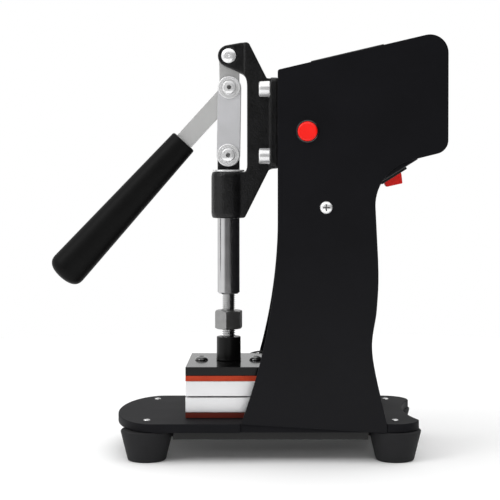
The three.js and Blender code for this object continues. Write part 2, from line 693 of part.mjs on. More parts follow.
function plungerHeadShape() {
  const bottom = rod.topZ + SEAT;
  const shoulder = bottom + plungerHead.shoulder;
  const top = wrist.z + rod.radius;
  const round = rodZ(rod.radius, bottom, top);
  const flat = slabY(barShape(0, bottom, 0, wrist.z, 2 * rod.radius + 1), -lever.half, lever.half);
  const whole = block(-10, 10, -10, 10, bottom - 1, shoulder);
  const spigot = rodZ(rod.spigotRadius, rod.topZ - rod.spigot, bottom + 1, SMALL);
  const pinHole = rodY(wrist.pinRadius + FIT, -10, 10, wrist.x, wrist.z);
  return cut(join(common(round, join(flat, whole)), spigot), pinHole);
}

add("platen_boss", platenBoss(), finishes.blackSteel);
add("pressure_screw", pressureScrew(), finishes.steel);
add("jam_nut", jamNut(), finishes.nut);
add("plunger_rod", plungerRod(), finishes.polished);
add("plunger_head", plungerHeadShape(), finishes.casting);
const wristHalf = lever.half - SEAT;
add("wrist_pin", rodY(wrist.pinRadius, -wristHalf, wristHalf, wrist.x, wrist.z), finishes.steel);

// ---- Lever, grip, links and their pins ----

const leverAngle = radians(lever.angle);
const alongLever = (distance) =>
  point(lever.bendX - distance * Math.cos(leverAngle), lever.bendZ - distance * Math.sin(leverAngle));

function leverShape() {
  const end = alongLever(lever.gripAt + lever.tang);
  const hub = slabY(barShape(pivot.x, pivot.z, knee.x, knee.z, lever.hubWidth), -lever.half, lever.half);
  const arm = slabY(barShape(lever.bendX, lever.bendZ, end.x, end.y, lever.armWidth), -lever.half, lever.half);
  const pivotHole = rodY(pivot.pinRadius + FIT, -10, 10, pivot.x, pivot.z);
  const kneeHole = rodY(knee.pinRadius + FIT, -10, 10, knee.x, knee.z);
  return cut(join(hub, arm), pivotHole, kneeHole);
}

function gripShape() {
  const { length, startRadius, endRadius, roundLength, chamfer } = grip;
  const roundSteps = 6;
  const end = Array.from({ length: roundSteps + 1 }, (_, i) => {
    const angle = (i / roundSteps) * (Math.PI / 2);
    return [endRadius * Math.cos(angle) ** 0.8, length - roundLength * (1 - Math.sin(angle) ** 0.8)];
  });
  end[roundSteps][0] = 0;
  const profile = [[0, 0], [startRadius - chamfer, 0], [startRadius, chamfer], ...end];
  const oval = turned(profile).scale(1, grip.flatten, 1);
  const halfSlot = lever.half + FIT;
  const halfWidth = lever.armWidth / 2 + FIT;
  const slot = block(-halfWidth, halfWidth, -halfSlot, halfSlot, -1, lever.tang + lever.armWidth);
  const start = alongLever(lever.gripAt);
  const place = (shape) => shape.rotateY(-Math.PI / 2 - leverAngle).translate(start.x, 0, start.y);
  return cut(place(oval), place(slot));
}

function linkShape(side) {
  const faces = [side * linkInner, side * linkOuter].sort((a, b) => a - b);
  const plate = slabY(barShape(knee.x, knee.z, wrist.x, wrist.z, 2 * link.radius), ...faces);
  const kneeHole = rodY(knee.pinRadius + FIT, -10, 10, knee.x, knee.z);
  const wristHole = rodY(wrist.pinRadius + FIT, -10, 10, wrist.x, wrist.z);
  return cut(plate, kneeHole, wristHole);
}

// A link screw with its head on the outer face of a link.
function linkScrew(side, at, shankRadius, shankLength, bore) {
  const { body, socket } = socketScrew(collarProfile(), shankRadius, shankLength, collarHead.socket, 1.6);
  const place = (shape) => alongY(shape, side, at.x, side * (linkOuter + SEAT), at.z);
  const tools = bore ? [place(socket), place(bore)] : [place(socket)];
  return cut(place(body), ...tools);
}

function leverPin() {
  const half = spine.earHalf + 0.6;
  const dome = 1.4;
  const r = pivot.pinRadius;
  const profile = [[0, half + dome], [r * 0.6, half + dome * 0.8], [r, half], [r, 0]];
  const mirrored = profile.map(([radius, z]) => [radius, -z]).reverse();
  return alongY(turned([...profile, ...mirrored.slice(1)], SMALL), 1, pivot.x, 0, pivot.z);
}

add("lever", leverShape(), finishes.steel);
add("grip", gripShape(), finishes.gripPlastic);
add("lever_pin", leverPin(), finishes.polished);
add("link_near", linkShape(-1), finishes.steel);
add("link_far", linkShape(1), finishes.steel);

const kneeScrewRadius = 2.2;
const barrelLength = 2 * linkOuter - SEAT;
const barrelBore = rodZ(kneeScrewRadius + FIT, -barrelLength - 1, -barrelLength / 2, SMALL);
add("knee_screw_near", linkScrew(-1, knee, knee.pinRadius, barrelLength, barrelBore), finishes.chrome);
add("knee_screw_far", linkScrew(1, knee, kneeScrewRadius, barrelLength / 2 - 0.5), finishes.chrome);
add("wrist_screw_near", linkScrew(-1, wrist, wrist.pinRadius, link.thickness + SEAT), finishes.chrome);
add("wrist_screw_far", linkScrew(1, wrist, wrist.pinRadius, link.thickness + SEAT), finishes.chrome);

// ---- Push button on the near panel ----

function buttonBody() {
  const bore = button.capRadius + FIT;
  const outer = bore + button.wall;
  const floor = -button.capDepth - button.travel - 3;
  const cup = [
    [0, -button.depth],
    [outer, -button.depth],
    [outer, SEAT],
    [button.rimRadius, SEAT],
    [button.rimRadius, button.rim - 0.4],
    [button.rimRadius - 0.4, button.rim],
    [bore, button.rim],
    [bore, floor],
    [0, floor],
  ];
  return alongY(turned(cup), -1, button.x, -base.halfWidth, button.z);
}

function buttonCap() {
  const r = button.capRadius;
  const cap = [[0, -button.capDepth], [r, -button.capDepth], [r, button.proud - 0.8], [r - 0.8, button.proud], [0, button.proud]];
  return alongY(turned(cap), -1, button.x, -base.halfWidth, button.z);
}

add("button_body", buttonBody(), finishes.blackPlastic);
add("button_cap", buttonCap(), finishes.red);

// ---- Rocker switch on the facet ----

function rockerBody() {
  const { offset, halfLength, halfWidth, wall, flange: lip, rim, depth } = rocker;
  const box = (grow, w0, w1) => {
    const outline = facetBox(offset - halfLength - grow, offset + halfLength + grow, w0, w1);
    return slabY(outline, -halfWidth - grow, halfWidth + grow);
  };
  return cut(join(box(lip, FIT, rim), box(wall, -depth, FIT + 0.2)), box(0, -depth / 2, rim + 1));
}

function rockerPaddle() {
  const { offset, halfLength, halfWidth, crest, lift, shoulder, heel, foot } = rocker;
  const end = halfLength - FIT - 0.1;
  const places = [
    [-end, heel],
    [crest, lift],
    [crest + 2.9, shoulder],
    [halfLength - 2.1, -foot],
    [-halfLength + 2.1, -foot],
    [-end, 1],
  ];
  const outline = polygon(places.map(([u, w]) => facetPoint(offset + u, w)));
  return slabY(outline, FIT - halfWidth, halfWidth - FIT);
}

add("rocker_body", rockerBody(), finishes.blackPlastic);
add("rocker_paddle", rockerPaddle(), finishes.red);

// ---- Temperature controller on the sloping top ----

function controllerCase() {
  const { halfU, halfY, lip, rim, depth, windowU, windowHalf, windowY } = controller;
  const recess = block(windowU - windowHalf, windowU + windowHalf, -windowY, windowY, rim - 1.2, rim + 1);
  const keyHoles = [-1, 0, 1].map((i) =>
    rodZ(key.radius + FIT, -key.depth - key.travel - 1, rim + 1, SMALL).translate(key.u, i * key.spacing, 0),
  );
  const body = block(lip - halfU, halfU - lip, lip - halfY, halfY - lip, -depth, rim / 2);
  return cut(join(block(-halfU, halfU, -halfY, halfY, 0, rim), body), recess, ...keyHoles);
}

function controllerWindow() {
  const { rim, windowU, windowHalf, windowY } = controller;
  const halfU = windowHalf - FIT;
  return block(windowU - halfU, windowU + halfU, FIT - windowY, windowY - FIT, rim - 0.9, rim + 0.1);
}

press.add(controllerFrame);
add("controller_case", controllerCase(), finishes.blackPlastic, controllerFrame);
add("controller_window", controllerWindow(), finishes.display, controllerFrame);
["down", "set", "up"].forEach((name, i) => {
  const cap = rodZ(key.radius, -key.depth, controller.rim + key.proud, SMALL);
  add(`key_${name}`, cap.translate(key.u, (i - 1) * key.spacing, 0), finishes.greyPlastic, controllerFrame);
});

// ---- Power inlet, control board and heater lead ----

function powerInlet() {
  const { halfY, halfZ, lip, rim, cavityY, cavityZ, depth, pin } = inlet;
  const x0 = head.rearX;
  const face = x0 + rim;
  const floor = face - depth;
  const y = halfY - lip;
  const z = halfZ - lip;
  const rimPlate = block(x0, face, -halfY, halfY, inlet.z - halfZ, inlet.z + halfZ);
  const body = block(floor - 3, x0 + 1, -y, y, inlet.z - z, inlet.z + z);
  const cavity = block(floor, face + 1, -cavityY, cavityY, inlet.z - cavityZ, inlet.z + cavityZ);
  const blades = [[-7, -2], [0, 2], [7, -2]].map(([y0, z0]) =>
    block(floor - 1, floor + pin, y0 - 1, y0 + 1, inlet.z + z0 - 2, inlet.z + z0 + 2),
  );
  return join(cut(join(rimPlate, body), cavity), ...blades);
}

function controlBoard() {
  const rear = panelInner - board.standoff - SEAT;
  const front = rear - board.thickness;
  const plate = block(board.x0, board.x1, front, rear, board.z0, board.z1);
  const transformer = block(board.x0 + 6, board.x0 + 32, front - 18, front + 0.5, board.z0 + 9, board.z0 + 31);
  const relay = block(board.x1 - 28, board.x1 - 10, front - 15, front + 0.5, board.z0 + 6, board.z0 + 21);
  const terminals = block(board.x0 + 8, board.x1 - 12, front - 8, front + 0.5, board.z1 - 8, board.z1 - 1.5);
  return join(plate, transformer, relay, terminals);
}

// It leaves the heater through the open end of its bore, turns up beside the platen and crosses to the front wall.
function heaterLead() {
  const level = upperPlatenZ + platen.thickness / 2;
  const end = platen.halfY;
  const rise = topPlateTop;
  const route = [
    [0, end - 0.7, level],
    [0, end + 1.2, level],
    [0.6, lead.y - 1, level + 0.8],
    [2.6, lead.y, level + 3.6],
    [6, lead.y, level + 7.8],
    [10.1, lead.y, rise - 4.3],
    [14.1, lead.y, rise - 1.5],
    [18.1, lead.y, rise],
    [22.6, lead.y, rise + 0.5],
    [27.1, lead.y, rise - 0.3],
    [31.1, lead.y, (rise - 0.3 + lead.wallZ) / 2],
    [head.frontX - 2 * FIT, lead.y, lead.wallZ],
  ];
  const curve = new THREE.CatmullRomCurve3(route.map((place) => new THREE.Vector3(...place)));
  const section = new THREE.Shape();
  section.absarc(0, 0, lead.radius, 0, 2 * Math.PI, false);
  return new THREE.ExtrudeGeometry(section, { extrudePath: curve, steps: 24, curveSegments: 4 });
}

add("power_inlet", powerInlet(), finishes.blackPlastic);
add("control_board", controlBoard(), finishes.board);
add("heater_lead", heaterLead(), finishes.silicone);

// ---- The origin goes under the middle of the press ----

const reach = new THREE.Box3().setFromObject(press);
press.position.x = -Math.round(5 * (reach.min.x + reach.max.x)) / 10;

export default press;
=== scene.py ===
"""A small heated hand press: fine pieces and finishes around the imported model, in a plain studio.

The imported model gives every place. Lengths are in metres, and MM turns a maker's millimetres into them.
"""

import json
import logging
import math
from dataclasses import dataclass
from enum import Enum
from typing import Any, Callable, Iterable, Sequence

import bmesh
import bpy
from mathutils import Matrix, Vector

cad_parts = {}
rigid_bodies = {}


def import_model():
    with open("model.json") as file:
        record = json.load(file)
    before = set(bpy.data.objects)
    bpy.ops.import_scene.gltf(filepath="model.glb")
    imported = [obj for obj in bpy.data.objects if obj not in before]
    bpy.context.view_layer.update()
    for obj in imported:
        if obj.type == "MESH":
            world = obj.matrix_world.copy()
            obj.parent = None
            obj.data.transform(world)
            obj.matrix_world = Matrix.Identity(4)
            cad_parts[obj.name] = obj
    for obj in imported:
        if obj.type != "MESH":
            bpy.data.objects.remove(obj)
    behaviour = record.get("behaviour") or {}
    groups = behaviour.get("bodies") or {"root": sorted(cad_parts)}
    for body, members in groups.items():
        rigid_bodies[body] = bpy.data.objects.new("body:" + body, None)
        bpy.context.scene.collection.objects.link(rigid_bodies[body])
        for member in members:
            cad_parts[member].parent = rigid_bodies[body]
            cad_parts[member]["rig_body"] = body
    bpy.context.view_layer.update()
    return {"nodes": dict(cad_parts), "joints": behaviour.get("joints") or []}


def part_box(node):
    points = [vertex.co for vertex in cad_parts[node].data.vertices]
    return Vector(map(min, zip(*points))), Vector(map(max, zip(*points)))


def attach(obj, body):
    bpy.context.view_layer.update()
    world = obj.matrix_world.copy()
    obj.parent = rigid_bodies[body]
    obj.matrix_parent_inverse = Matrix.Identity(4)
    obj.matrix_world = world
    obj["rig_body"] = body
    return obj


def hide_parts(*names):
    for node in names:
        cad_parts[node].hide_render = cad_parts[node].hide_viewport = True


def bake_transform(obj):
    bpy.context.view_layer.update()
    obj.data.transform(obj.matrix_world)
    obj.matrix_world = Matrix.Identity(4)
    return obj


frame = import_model()

MM = 0.001
FINE = 96  # sides of a large round piece
ROUND = 64  # sides of a small round piece
log = logging.getLogger("hand_press")


# ---- Shader maths ----


class Value:
    """A socket of a material, which adds a Math node when it is reckoned with."""

    def __init__(self, shade: "Shade", socket: bpy.types.NodeSocket) -> None:
        """Keeps the socket and the material that it belongs to."""
        self.shade = shade
        self.socket = socket

    def reckon(self, operation: str, first: Any, second: Any) -> "Value":
        """Adds a Math node.

        Args:
            operation: the Math node's operation.
            first: its first value, a number or a Value.
            second: its second value.

        Returns:
            The node's result.
        """
        return self.shade.node("ShaderNodeMath", {"operation": operation}, {0: first, 1: second})

    def __add__(self, other: Any) -> "Value":
        """This plus other."""
        return self.reckon("ADD", self, other)

    def __radd__(self, other: Any) -> "Value":
        """Other plus this."""
        return self.reckon("ADD", other, self)

    def __sub__(self, other: Any) -> "Value":
        """This less other."""
        return self.reckon("SUBTRACT", self, other)

    def __rsub__(self, other: Any) -> "Value":
        """Other less this."""
        return self.reckon("SUBTRACT", other, self)

    def __mul__(self, other: Any) -> "Value":
        """This times other."""
        return self.reckon("MULTIPLY", self, other)

    def __rmul__(self, other: Any) -> "Value":
        """Other times this."""
        return self.reckon("MULTIPLY", other, self)

    def __gt__(self, other: Any) -> "Value":
        """1 where this is greater than other, and 0 elsewhere."""
        return self.reckon("GREATER_THAN", self, other)

    def larger(self, other: Any) -> "Value":
        """The larger of this and other."""
        return self.reckon("MAXIMUM", self, other)


class Shade:
    """One material's node tree, built round a Principled shader."""

    def __init__(self, name: str) -> None:
        """Makes an empty material of that name."""
        self.material = bpy.data.materials.new(name)
        self.material.use_nodes = True
        self.tree = self.material.node_tree
        self.shader = self.tree.nodes["Principled BSDF"]

    @classmethod
    def of_world(cls, world: bpy.types.World) -> "Shade":
        """The node tree of a world, whose shader is its background."""
        made = cls.__new__(cls)
        made.tree = world.node_tree
        made.shader = made.tree.nodes["Background"]
        return made

    def ramp(self, value: Any, low: float, high: float) -> Value:
        """0 below low and 1 above high, with a smooth rise between."""
        settings = {"interpolation_type": "SMOOTHSTEP"}
        return self.node("ShaderNodeMapRange", settings, {0: value, 1: low, 2: high, 3: 0.0, 4: 1.0})

    def node(self, kind: str, settings: dict[str, Any], inputs: dict[Any, Any], output: int = 0) -> Value:
        """Adds a node of any type.

        Args:
            kind: the node's type.
            settings: its settings, with a ramp's stops as (place, grey) pairs under "stops".
            inputs: a number, a vector or a Value for each socket, by name or index.
            output: the index of the output that is wanted.

        Returns:
            That output.
        """
        made = self.tree.nodes.new(kind)
        for key, value in settings.items():
            if key == "stops":
                for stop, (place, grey) in zip(made.color_ramp.elements, value):
                    stop.position = place
                    stop.color = (grey, grey, grey, 1)
            else:
                setattr(made, key, value)
        for key, value in inputs.items():
            if isinstance(value, Value):
                self.tree.links.new(value.socket, made.inputs[key])
            else:
                made.inputs[key].default_value = value
        return Value(self, made.outputs[output])

    def feed(self, socket: str, value: Any) -> None:
        """Sets one of the shader's sockets, or links a Value to it.

        Args:
            socket: the socket's name.
            value: a number, a colour or a Value.
        """
        if isinstance(value, Value):
            self.tree.links.new(value.socket, self.shader.inputs[socket])
        else:
            self.shader.inputs[socket].default_value = value

    def place(self, stretch: Sequence[float] = (1, 1, 1)) -> Value:
        """Object coordinates in metres, stretched along each axis.

        Args:
            stretch: how many times finer the pattern is along X, Y and Z.

        Returns:
            The coordinates.
        """
        where = self.node("ShaderNodeTexCoord", {}, {}, 3)
        return self.node("ShaderNodeMapping", {}, {"Vector": where, "Scale": tuple(stretch)})

    def noise(self, size: float, detail: float = 2, stretch: Sequence[float] = (1, 1, 1)) -> Value:
        """Noise whose lumps are about that size.

        Args:
            size: the lumps' size in metres.
            detail: how many finer layers it has.
            stretch: as in place().

        Returns:
            Its value, which is about 0.5 in the middle.
        """
        settings = {"noise_dimensions": "3D"}
        inputs = {"Vector": self.place(stretch), "Scale": 1 / size, "Detail": detail}
        return self.node("ShaderNodeTexNoise", settings, inputs)

    def cells(self, size: float) -> Value:
        """The distance from the middle of rounded cells of about that size."""
        settings = {"feature": "SMOOTH_F1"}
        inputs = {"Vector": self.place(), "Scale": 1 / size, "Smoothness": 0.6}
        return self.node("ShaderNodeTexVoronoi", settings, inputs)

    def mixed(self, share: Value, first: Sequence[float], second: Sequence[float]) -> Value:
        """A colour between two.

        Args:
            share: 0 for the first colour and 1 for the second.
            first: red, green and blue.
            second: red, green and blue.

        Returns:
            The colour.
        """
        inputs = {0: share, 6: (*first, 1), 7: (*second, 1)}
        return self.node("ShaderNodeMix", {"data_type": "RGBA"}, inputs, 2)


# ---- Finishes ----


class Grain(Enum):
    """What the surface is like under a glass."""

    PEEL = "the soft orange peel of powder coat"
    CAST = "the pebbled enamel of a rough casting"
    MOULDED = "the fine grain of moulded rubber or plastic"
    BRUSHED = "straight brush lines"
    TURNED = "the rings that a lathe leaves"
    GROUND = "a fine surface with a few scuffs"


@dataclass(frozen=True)
class Finish:
    """A procedural finish: two tones, a roughness that varies, and a grain that stands out or in.

    Colours are linear red, green and blue, and sizes are in millimetres.
    """

    name: str
    tone: tuple[float, float, float]
    other_tone: tuple[float, float, float]
    roughness: float
    grain: Grain
    grain_size: float
    grain_depth: float
    metallic: float = 0.0
    specular: float = 0.5
    spread: float = 0.06
    mottle_size: float = 14.0
    lines: tuple[float, float, float] = (1, 1, 1)
    coat: float = 0.0
    coat_ior: float = 1.5

    def relief(self, shade: Shade) -> Value:
        """The height of the grain, from 0 to about 1.

        Args:
            shade: the material that is being built.

        Returns:
            The height.
        """
        size = self.grain_size * MM
        if self.grain is Grain.CAST:
            pebbles = 1.0 - shade.cells(size) * 1.4
            return pebbles * 0.7 + shade.noise(size * 2.7, 3) * 0.6
        if self.grain is Grain.MOULDED:
            return shade.cells(size) * 0.8 + shade.noise(size * 4, 2) * 0.4
        if self.grain in (Grain.BRUSHED, Grain.TURNED):
            fine = shade.noise(size, 2, self.lines)
            return fine * 0.7 + shade.noise(size * 5, 2, self.lines) * 0.5
        return shade.noise(size, 2)

    def scuffs(self, shade: Shade) -> Value:
        """Thin marks, 1 on a mark and 0 elsewhere, from noise that is drawn out along a slant."""
        streaks = shade.noise(1.6 * MM, 3, (1, 1, 0.12))
        patches = shade.noise(22 * MM, 2)
        return (streaks > 0.69) * (patches > 0.56)

    def material(self) -> bpy.types.Material:
        """Builds the material.

        Returns:
            The material, ready to be put on a piece.
        """
        shade = Shade(self.name)
        mottle = shade.noise(self.mottle_size * MM, 4)
        relief = self.relief(shade)
        share = shade.node("ShaderNodeValToRGB", {"stops": ((0.3, 0.0), (0.7, 1.0))}, {0: mottle * 0.6 + relief * 0.4})
        shade.feed("Base Color", shade.mixed(share, self.tone, self.other_tone))
        rough = (mottle - 0.5) * (2 * self.spread) + (relief - 0.5) * self.spread + self.roughness
        if self.metallic or self.coat:
            rough = rough + self.scuffs(shade) * self.spread
        shade.feed("Roughness", rough)
        shade.feed("Metallic", self.metallic)
        shade.feed("Specular IOR Level", self.specular)
        shade.feed("Coat Weight", self.coat)
        shade.feed("Coat IOR", self.coat_ior)
        shade.feed("Coat Roughness", 0.06)
        bump = {"Strength": 1.0, "Distance": self.grain_depth * MM, "Height": relief}
        shade.feed("Normal", shade.node("ShaderNodeBump", {}, bump))
        return shade.material


def grey(level: float, blue: float = 1.0) -> tuple[float, float, float]:
    """A grey of that level, with its blue a little up or down."""
    return (level, level, level * blue)


PAINT = Finish("satin_black_paint", grey(0.0026, 1.3), grey(0.0036, 1.4), 0.42, Grain.PEEL, 0.7, 0.012,
               specular=0.17, spread=0.05, mottle_size=40)
BASE_PAINT = Finish("satin_base_paint", grey(0.0062, 1.15), grey(0.0085, 1.2), 0.6, Grain.PEEL, 0.6, 0.014,
                    specular=0.07, spread=0.05, mottle_size=30)
CASTING = Finish("pebbled_enamel", grey(0.0026), grey(0.007, 1.1), 0.36, Grain.CAST, 1.15, 0.16,
                 specular=0.34, spread=0.1, mottle_size=6)
RUBBER = Finish("foot_rubber", grey(0.010, 1.05), grey(0.014, 1.1), 0.72, Grain.MOULDED, 0.35, 0.03,
                specular=0.22, mottle_size=9)
GRIP = Finish("grip_plastic", grey(0.0030), grey(0.005), 0.42, Grain.MOULDED, 0.5, 0.012,
              specular=0.08, spread=0.04, mottle_size=18)
LEVER_STEEL = Finish("brushed_lever_steel", grey(0.60, 0.99), grey(0.66, 0.99), 0.36, Grain.BRUSHED, 0.16, 0.006,
                     metallic=0.6, lines=(0.5, 1, 0.06), mottle_size=20)
LINK_STEEL = Finish("brushed_link_steel", grey(0.56, 1.02), grey(0.63, 1.03), 0.34, Grain.BRUSHED, 0.16, 0.007,
                    metallic=0.4, lines=(1, 1, 0.05), mottle_size=16)
ROD_STEEL = Finish("ground_rod_steel", grey(0.56, 1.01), grey(0.64, 1.01), 0.17, Grain.TURNED, 0.14, 0.002,
                   metallic=1, lines=(0.03, 0.03, 1), spread=0.05, mottle_size=12)
THREAD_STEEL = Finish("thread_steel", grey(0.52), grey(0.66), 0.24, Grain.TURNED, 0.2, 0.004,
                      metallic=1, lines=(0.2, 0.2, 1), mottle_size=5)
NUT_STEEL = Finish("dull_nut_steel", grey(0.27), grey(0.34), 0.38, Grain.GROUND, 0.3, 0.008,
                   metallic=1, mottle_size=5)
CHROME = Finish("bright_chrome", grey(0.82), grey(0.88, 1.01), 0.15, Grain.GROUND, 0.5, 0.001,
                metallic=0.5, spread=0.03, mottle_size=7)
GLOSS_OXIDE = Finish("glossy_black_oxide", grey(0.004), grey(0.006), 0.12, Grain.GROUND, 0.4, 0.002, coat=1.0)
GLOSS_PLASTIC = Finish("glossy_black_plastic", grey(0.005, 1.1), grey(0.008, 1.1), 0.2, Grain.MOULDED, 0.3, 0.002,
                       coat=0.5)
BLACK_OXIDE = Finish("black_oxide", grey(0.002), grey(0.004), 0.3, Grain.TURNED, 0.25, 0.004,
                     specular=0.2, lines=(0.1, 0.1, 1), mottle_size=8)
PLATE_ENAMEL = Finish("glossy_plate_enamel", grey(0.0025), grey(0.004), 0.16, Grain.PEEL, 0.8, 0.004,
                      specular=0.13, coat=0.3, coat_ior=1.35, spread=0.03)
ALUMINIUM = Finish("machined_aluminium", grey(0.86, 1.01), grey(0.91, 1.01), 0.3, Grain.BRUSHED, 0.18, 0.004,
                   metallic=1, lines=(0.05, 0.05, 1), spread=0.04, mottle_size=25)
BOARD_RED = Finish("insulation_board", (0.36, 0.026, 0.004), (0.46, 0.042, 0.008), 0.55, Grain.MOULDED, 0.4, 0.03,
                   specular=0.35, mottle_size=4)
# The lower board's darker red-brown is partly its own tone and partly painted shade for the shadow under the upper
# platen.
BOARD_TONE_AND_SHADE = Finish("dark_board_and_painted_shade", (0.075, 0.008, 0.004), (0.10, 0.012, 0.006), 0.6, Grain.MOULDED,
                     0.4, 0.03, specular=0.25, mottle_size=4)
SWITCH_RED = Finish("red_plastic", (0.74, 0.006, 0.003), (0.80, 0.010, 0.005), 0.3, Grain.MOULDED, 0.3, 0.003,
                    specular=0.35, spread=0.03, mottle_size=6)
BLACK_PLASTIC = Finish("black_plastic", grey(0.005), grey(0.009), 0.4, Grain.MOULDED, 0.3, 0.01,
                       specular=0.35, mottle_size=8)
GREY_PLASTIC = Finish("grey_plastic", grey(0.10, 1.1), grey(0.13, 1.1), 0.4, Grain.MOULDED, 0.3, 0.008, mottle_size=3)
LENS = Finish("dark_red_lens", (0.02, 0.002, 0.002), (0.03, 0.003, 0.003), 0.08, Grain.GROUND, 2.0, 0.001,
              spread=0.02, coat=1.0)
CIRCUIT = Finish("circuit_board", (0.01, 0.09, 0.03), (0.02, 0.14, 0.05), 0.4, Grain.GROUND, 0.8, 0.02, mottle_size=6)
SILICONE = Finish("silicone_sleeve", grey(0.01), grey(0.016), 0.5, Grain.MOULDED, 0.3, 0.01, mottle_size=5)

_materials: dict[str, bpy.types.Material] = {}


def dressed(finish: Finish) -> bpy.types.Material:
    """The material of a finish, built once."""
    if finish.name not in _materials:
        _materials[finish.name] = finish.material()
    return _materials[finish.name]


# ---- Shaping ----


class Form:
    """A bmesh in metres that operators shape, and that becomes one piece."""

    def __init__(self) -> None:
        """Starts with nothing."""
        self.mesh = bmesh.new()

    def seal(self) -> "Form":
        """Merges doubles and turns every face outwards."""
        bmesh.ops.remove_doubles(self.mesh, verts=self.mesh.verts[:], dist=2e-7)
        bmesh.ops.recalc_face_normals(self.mesh, faces=self.mesh.faces[:])
        return self

    def sharp(self, degrees: float) -> list[bmesh.types.BMEdge]:
        """The edges whose faces meet at more than that angle."""
        limit = math.radians(degrees)
        return [e for e in self.mesh.edges if e.is_manifold and e.calc_face_angle(0.0) > limit]

    def ease(self, width: float, segments: int = 2, degrees: float = 30) -> "Form":
        """Rounds the sharp edges.

        Args:
            width: the rounding's width in millimetres.
            segments: the faces across it.
            degrees: an edge is sharp from this angle.

        Returns:
            This form.
        """
        bmesh.ops.bevel(self.mesh, geom=self.sharp(degrees), offset=width * MM, affect="EDGES", segments=segments,
                        profile=0.5, material=-1, offset_type="OFFSET", clamp_overlap=False, loop_slide=True)
        return self

    def moved(self, matrix: Matrix) -> "Form":
        """Moves every vertex by a matrix."""
        bmesh.ops.transform(self.mesh, matrix=matrix, verts=self.mesh.verts[:])
        return self

    def aimed(self, direction: Sequence[float], at: Sequence[float]) -> "Form":
        """Turns +Z to a direction and puts the origin at a place."""
        turn = Vector((0, 0, 1)).rotation_difference(Vector(direction)).to_matrix().to_4x4()
        return self.moved(Matrix.Translation(Vector(at)) @ turn)

    def joined(self, other: "Form") -> "Form":
        """Takes in another form's faces as they are."""
        spare = bpy.data.meshes.new("joined")
        other.mesh.to_mesh(spare)
        self.mesh.from_mesh(spare)
        bpy.data.meshes.remove(spare)
        return self

    def modified(self, add: Callable[[bpy.types.Object], None]) -> "Form":
        """Applies modifiers.

        Args:
            add: a function that puts modifiers on a scratch object.

        Returns:
            This form, with what the modifiers made.
        """
        mesh = bpy.data.meshes.new("scratch")
        self.mesh.to_mesh(mesh)
        scratch = bpy.data.objects.new("scratch", mesh)
        bpy.context.scene.collection.objects.link(scratch)
        add(scratch)
        graph = bpy.context.evaluated_depsgraph_get()
        made = bpy.data.meshes.new_from_object(scratch.evaluated_get(graph))
        self.mesh.clear()
        self.mesh.from_mesh(made)
        bpy.data.objects.remove(scratch)
        bpy.data.meshes.remove(mesh)
        bpy.data.meshes.remove(made)
        return self

    def carved(self, *tools: "Form", operation: str = "DIFFERENCE") -> "Form":
        """Cuts with, joins to or keeps what is common to other closed forms.

        Args:
            tools: the other forms.
            operation: DIFFERENCE, UNION or INTERSECT.

        Returns:
            This form.
        """
        for tool in tools:
            mesh = bpy.data.meshes.new("tool")
            tool.mesh.to_mesh(mesh)
            cutter = bpy.data.objects.new("tool", mesh)
            bpy.context.scene.collection.objects.link(cutter)

            def add(scratch: bpy.types.Object, cutter: bpy.types.Object = cutter) -> None:
                """Puts the boolean on."""
                boolean = scratch.modifiers.new("boolean", "BOOLEAN")
                boolean.object = cutter
                boolean.operation = operation
                boolean.solver = "EXACT"

            self.modified(add)
            bpy.data.objects.remove(cutter)
            bpy.data.meshes.remove(mesh)
        return self


def turned(profile: Sequence[tuple[float, float]], sides: int = FINE) -> Form:
    """Turns a profile about Z.

    Args:
        profile: pairs of radius and height in millimetres.
        sides: how many sides the round has.

    Returns:
        The form.
    """
    form = Form()
    corners = [form.mesh.verts.new((r * MM, 0, z * MM)) for r, z in profile]
    edges = [form.mesh.edges.new(pair) for pair in zip(corners, corners[1:])]
    bmesh.ops.spin(form.mesh, geom=corners + edges, cent=(0, 0, 0), axis=(0, 0, 1), angle=2 * math.pi, steps=sides,
                   use_merge=True, use_duplicate=False)
    return form.seal()


def block(low: Sequence[float], high: Sequence[float]) -> Form:
    """A block between two corners in metres."""
    form = Form()
    size = Vector(high) - Vector(low)
    bmesh.ops.create_cube(form.mesh, size=1)
    return form.moved(Matrix.Translation((Vector(low) + Vector(high)) / 2) @ Matrix.Diagonal((*size, 1)))


def prism(sides: int, radius: float, bottom: float, top: float) -> Form:
    """A prism about Z with equal sides, a corner on +Y and its sizes in millimetres."""
    form = Form()
    bmesh.ops.create_cone(form.mesh, cap_ends=True, segments=sides, radius1=radius * MM, radius2=radius * MM,
                          depth=(top - bottom) * MM)
    return form.moved(Matrix.Translation((0, 0, (bottom + top) / 2 * MM)))


def bar(start: Vector, end: Vector, width: float, half: float, steps: int = 28) -> Form:
    """A flat bar with round ends between two places in the XZ plane.

    Args:
        start: the middle of one round end.
        end: the middle of the other.
        width: its width in metres.
        half: half its thickness along Y.
        steps: the faces round each quarter.

    Returns:
        The form.
    """
    along = end - start
    reach = (along.length + width) / 2
    form = block((-reach, -half, -width / 2), (reach, half, width / 2))
    corners = [e for e in form.mesh.edges if abs(e.verts[0].co.y - e.verts[1].co.y) > half]
    bmesh.ops.bevel(form.mesh, geom=corners, offset=width / 2 - 1e-6, affect="EDGES", segments=steps, profile=0.5,
                    material=-1, offset_type="OFFSET", clamp_overlap=False)
    bmesh.ops.remove_doubles(form.mesh, verts=form.mesh.verts[:], dist=5e-6)
    bmesh.ops.dissolve_limit(form.mesh, angle_limit=math.radians(0.5), verts=form.mesh.verts[:],
                             edges=form.mesh.edges[:])
    turn = Matrix.Rotation(-math.atan2(along.z, along.x), 4, "Y")
    return form.moved(Matrix.Translation((start + end) / 2) @ turn)


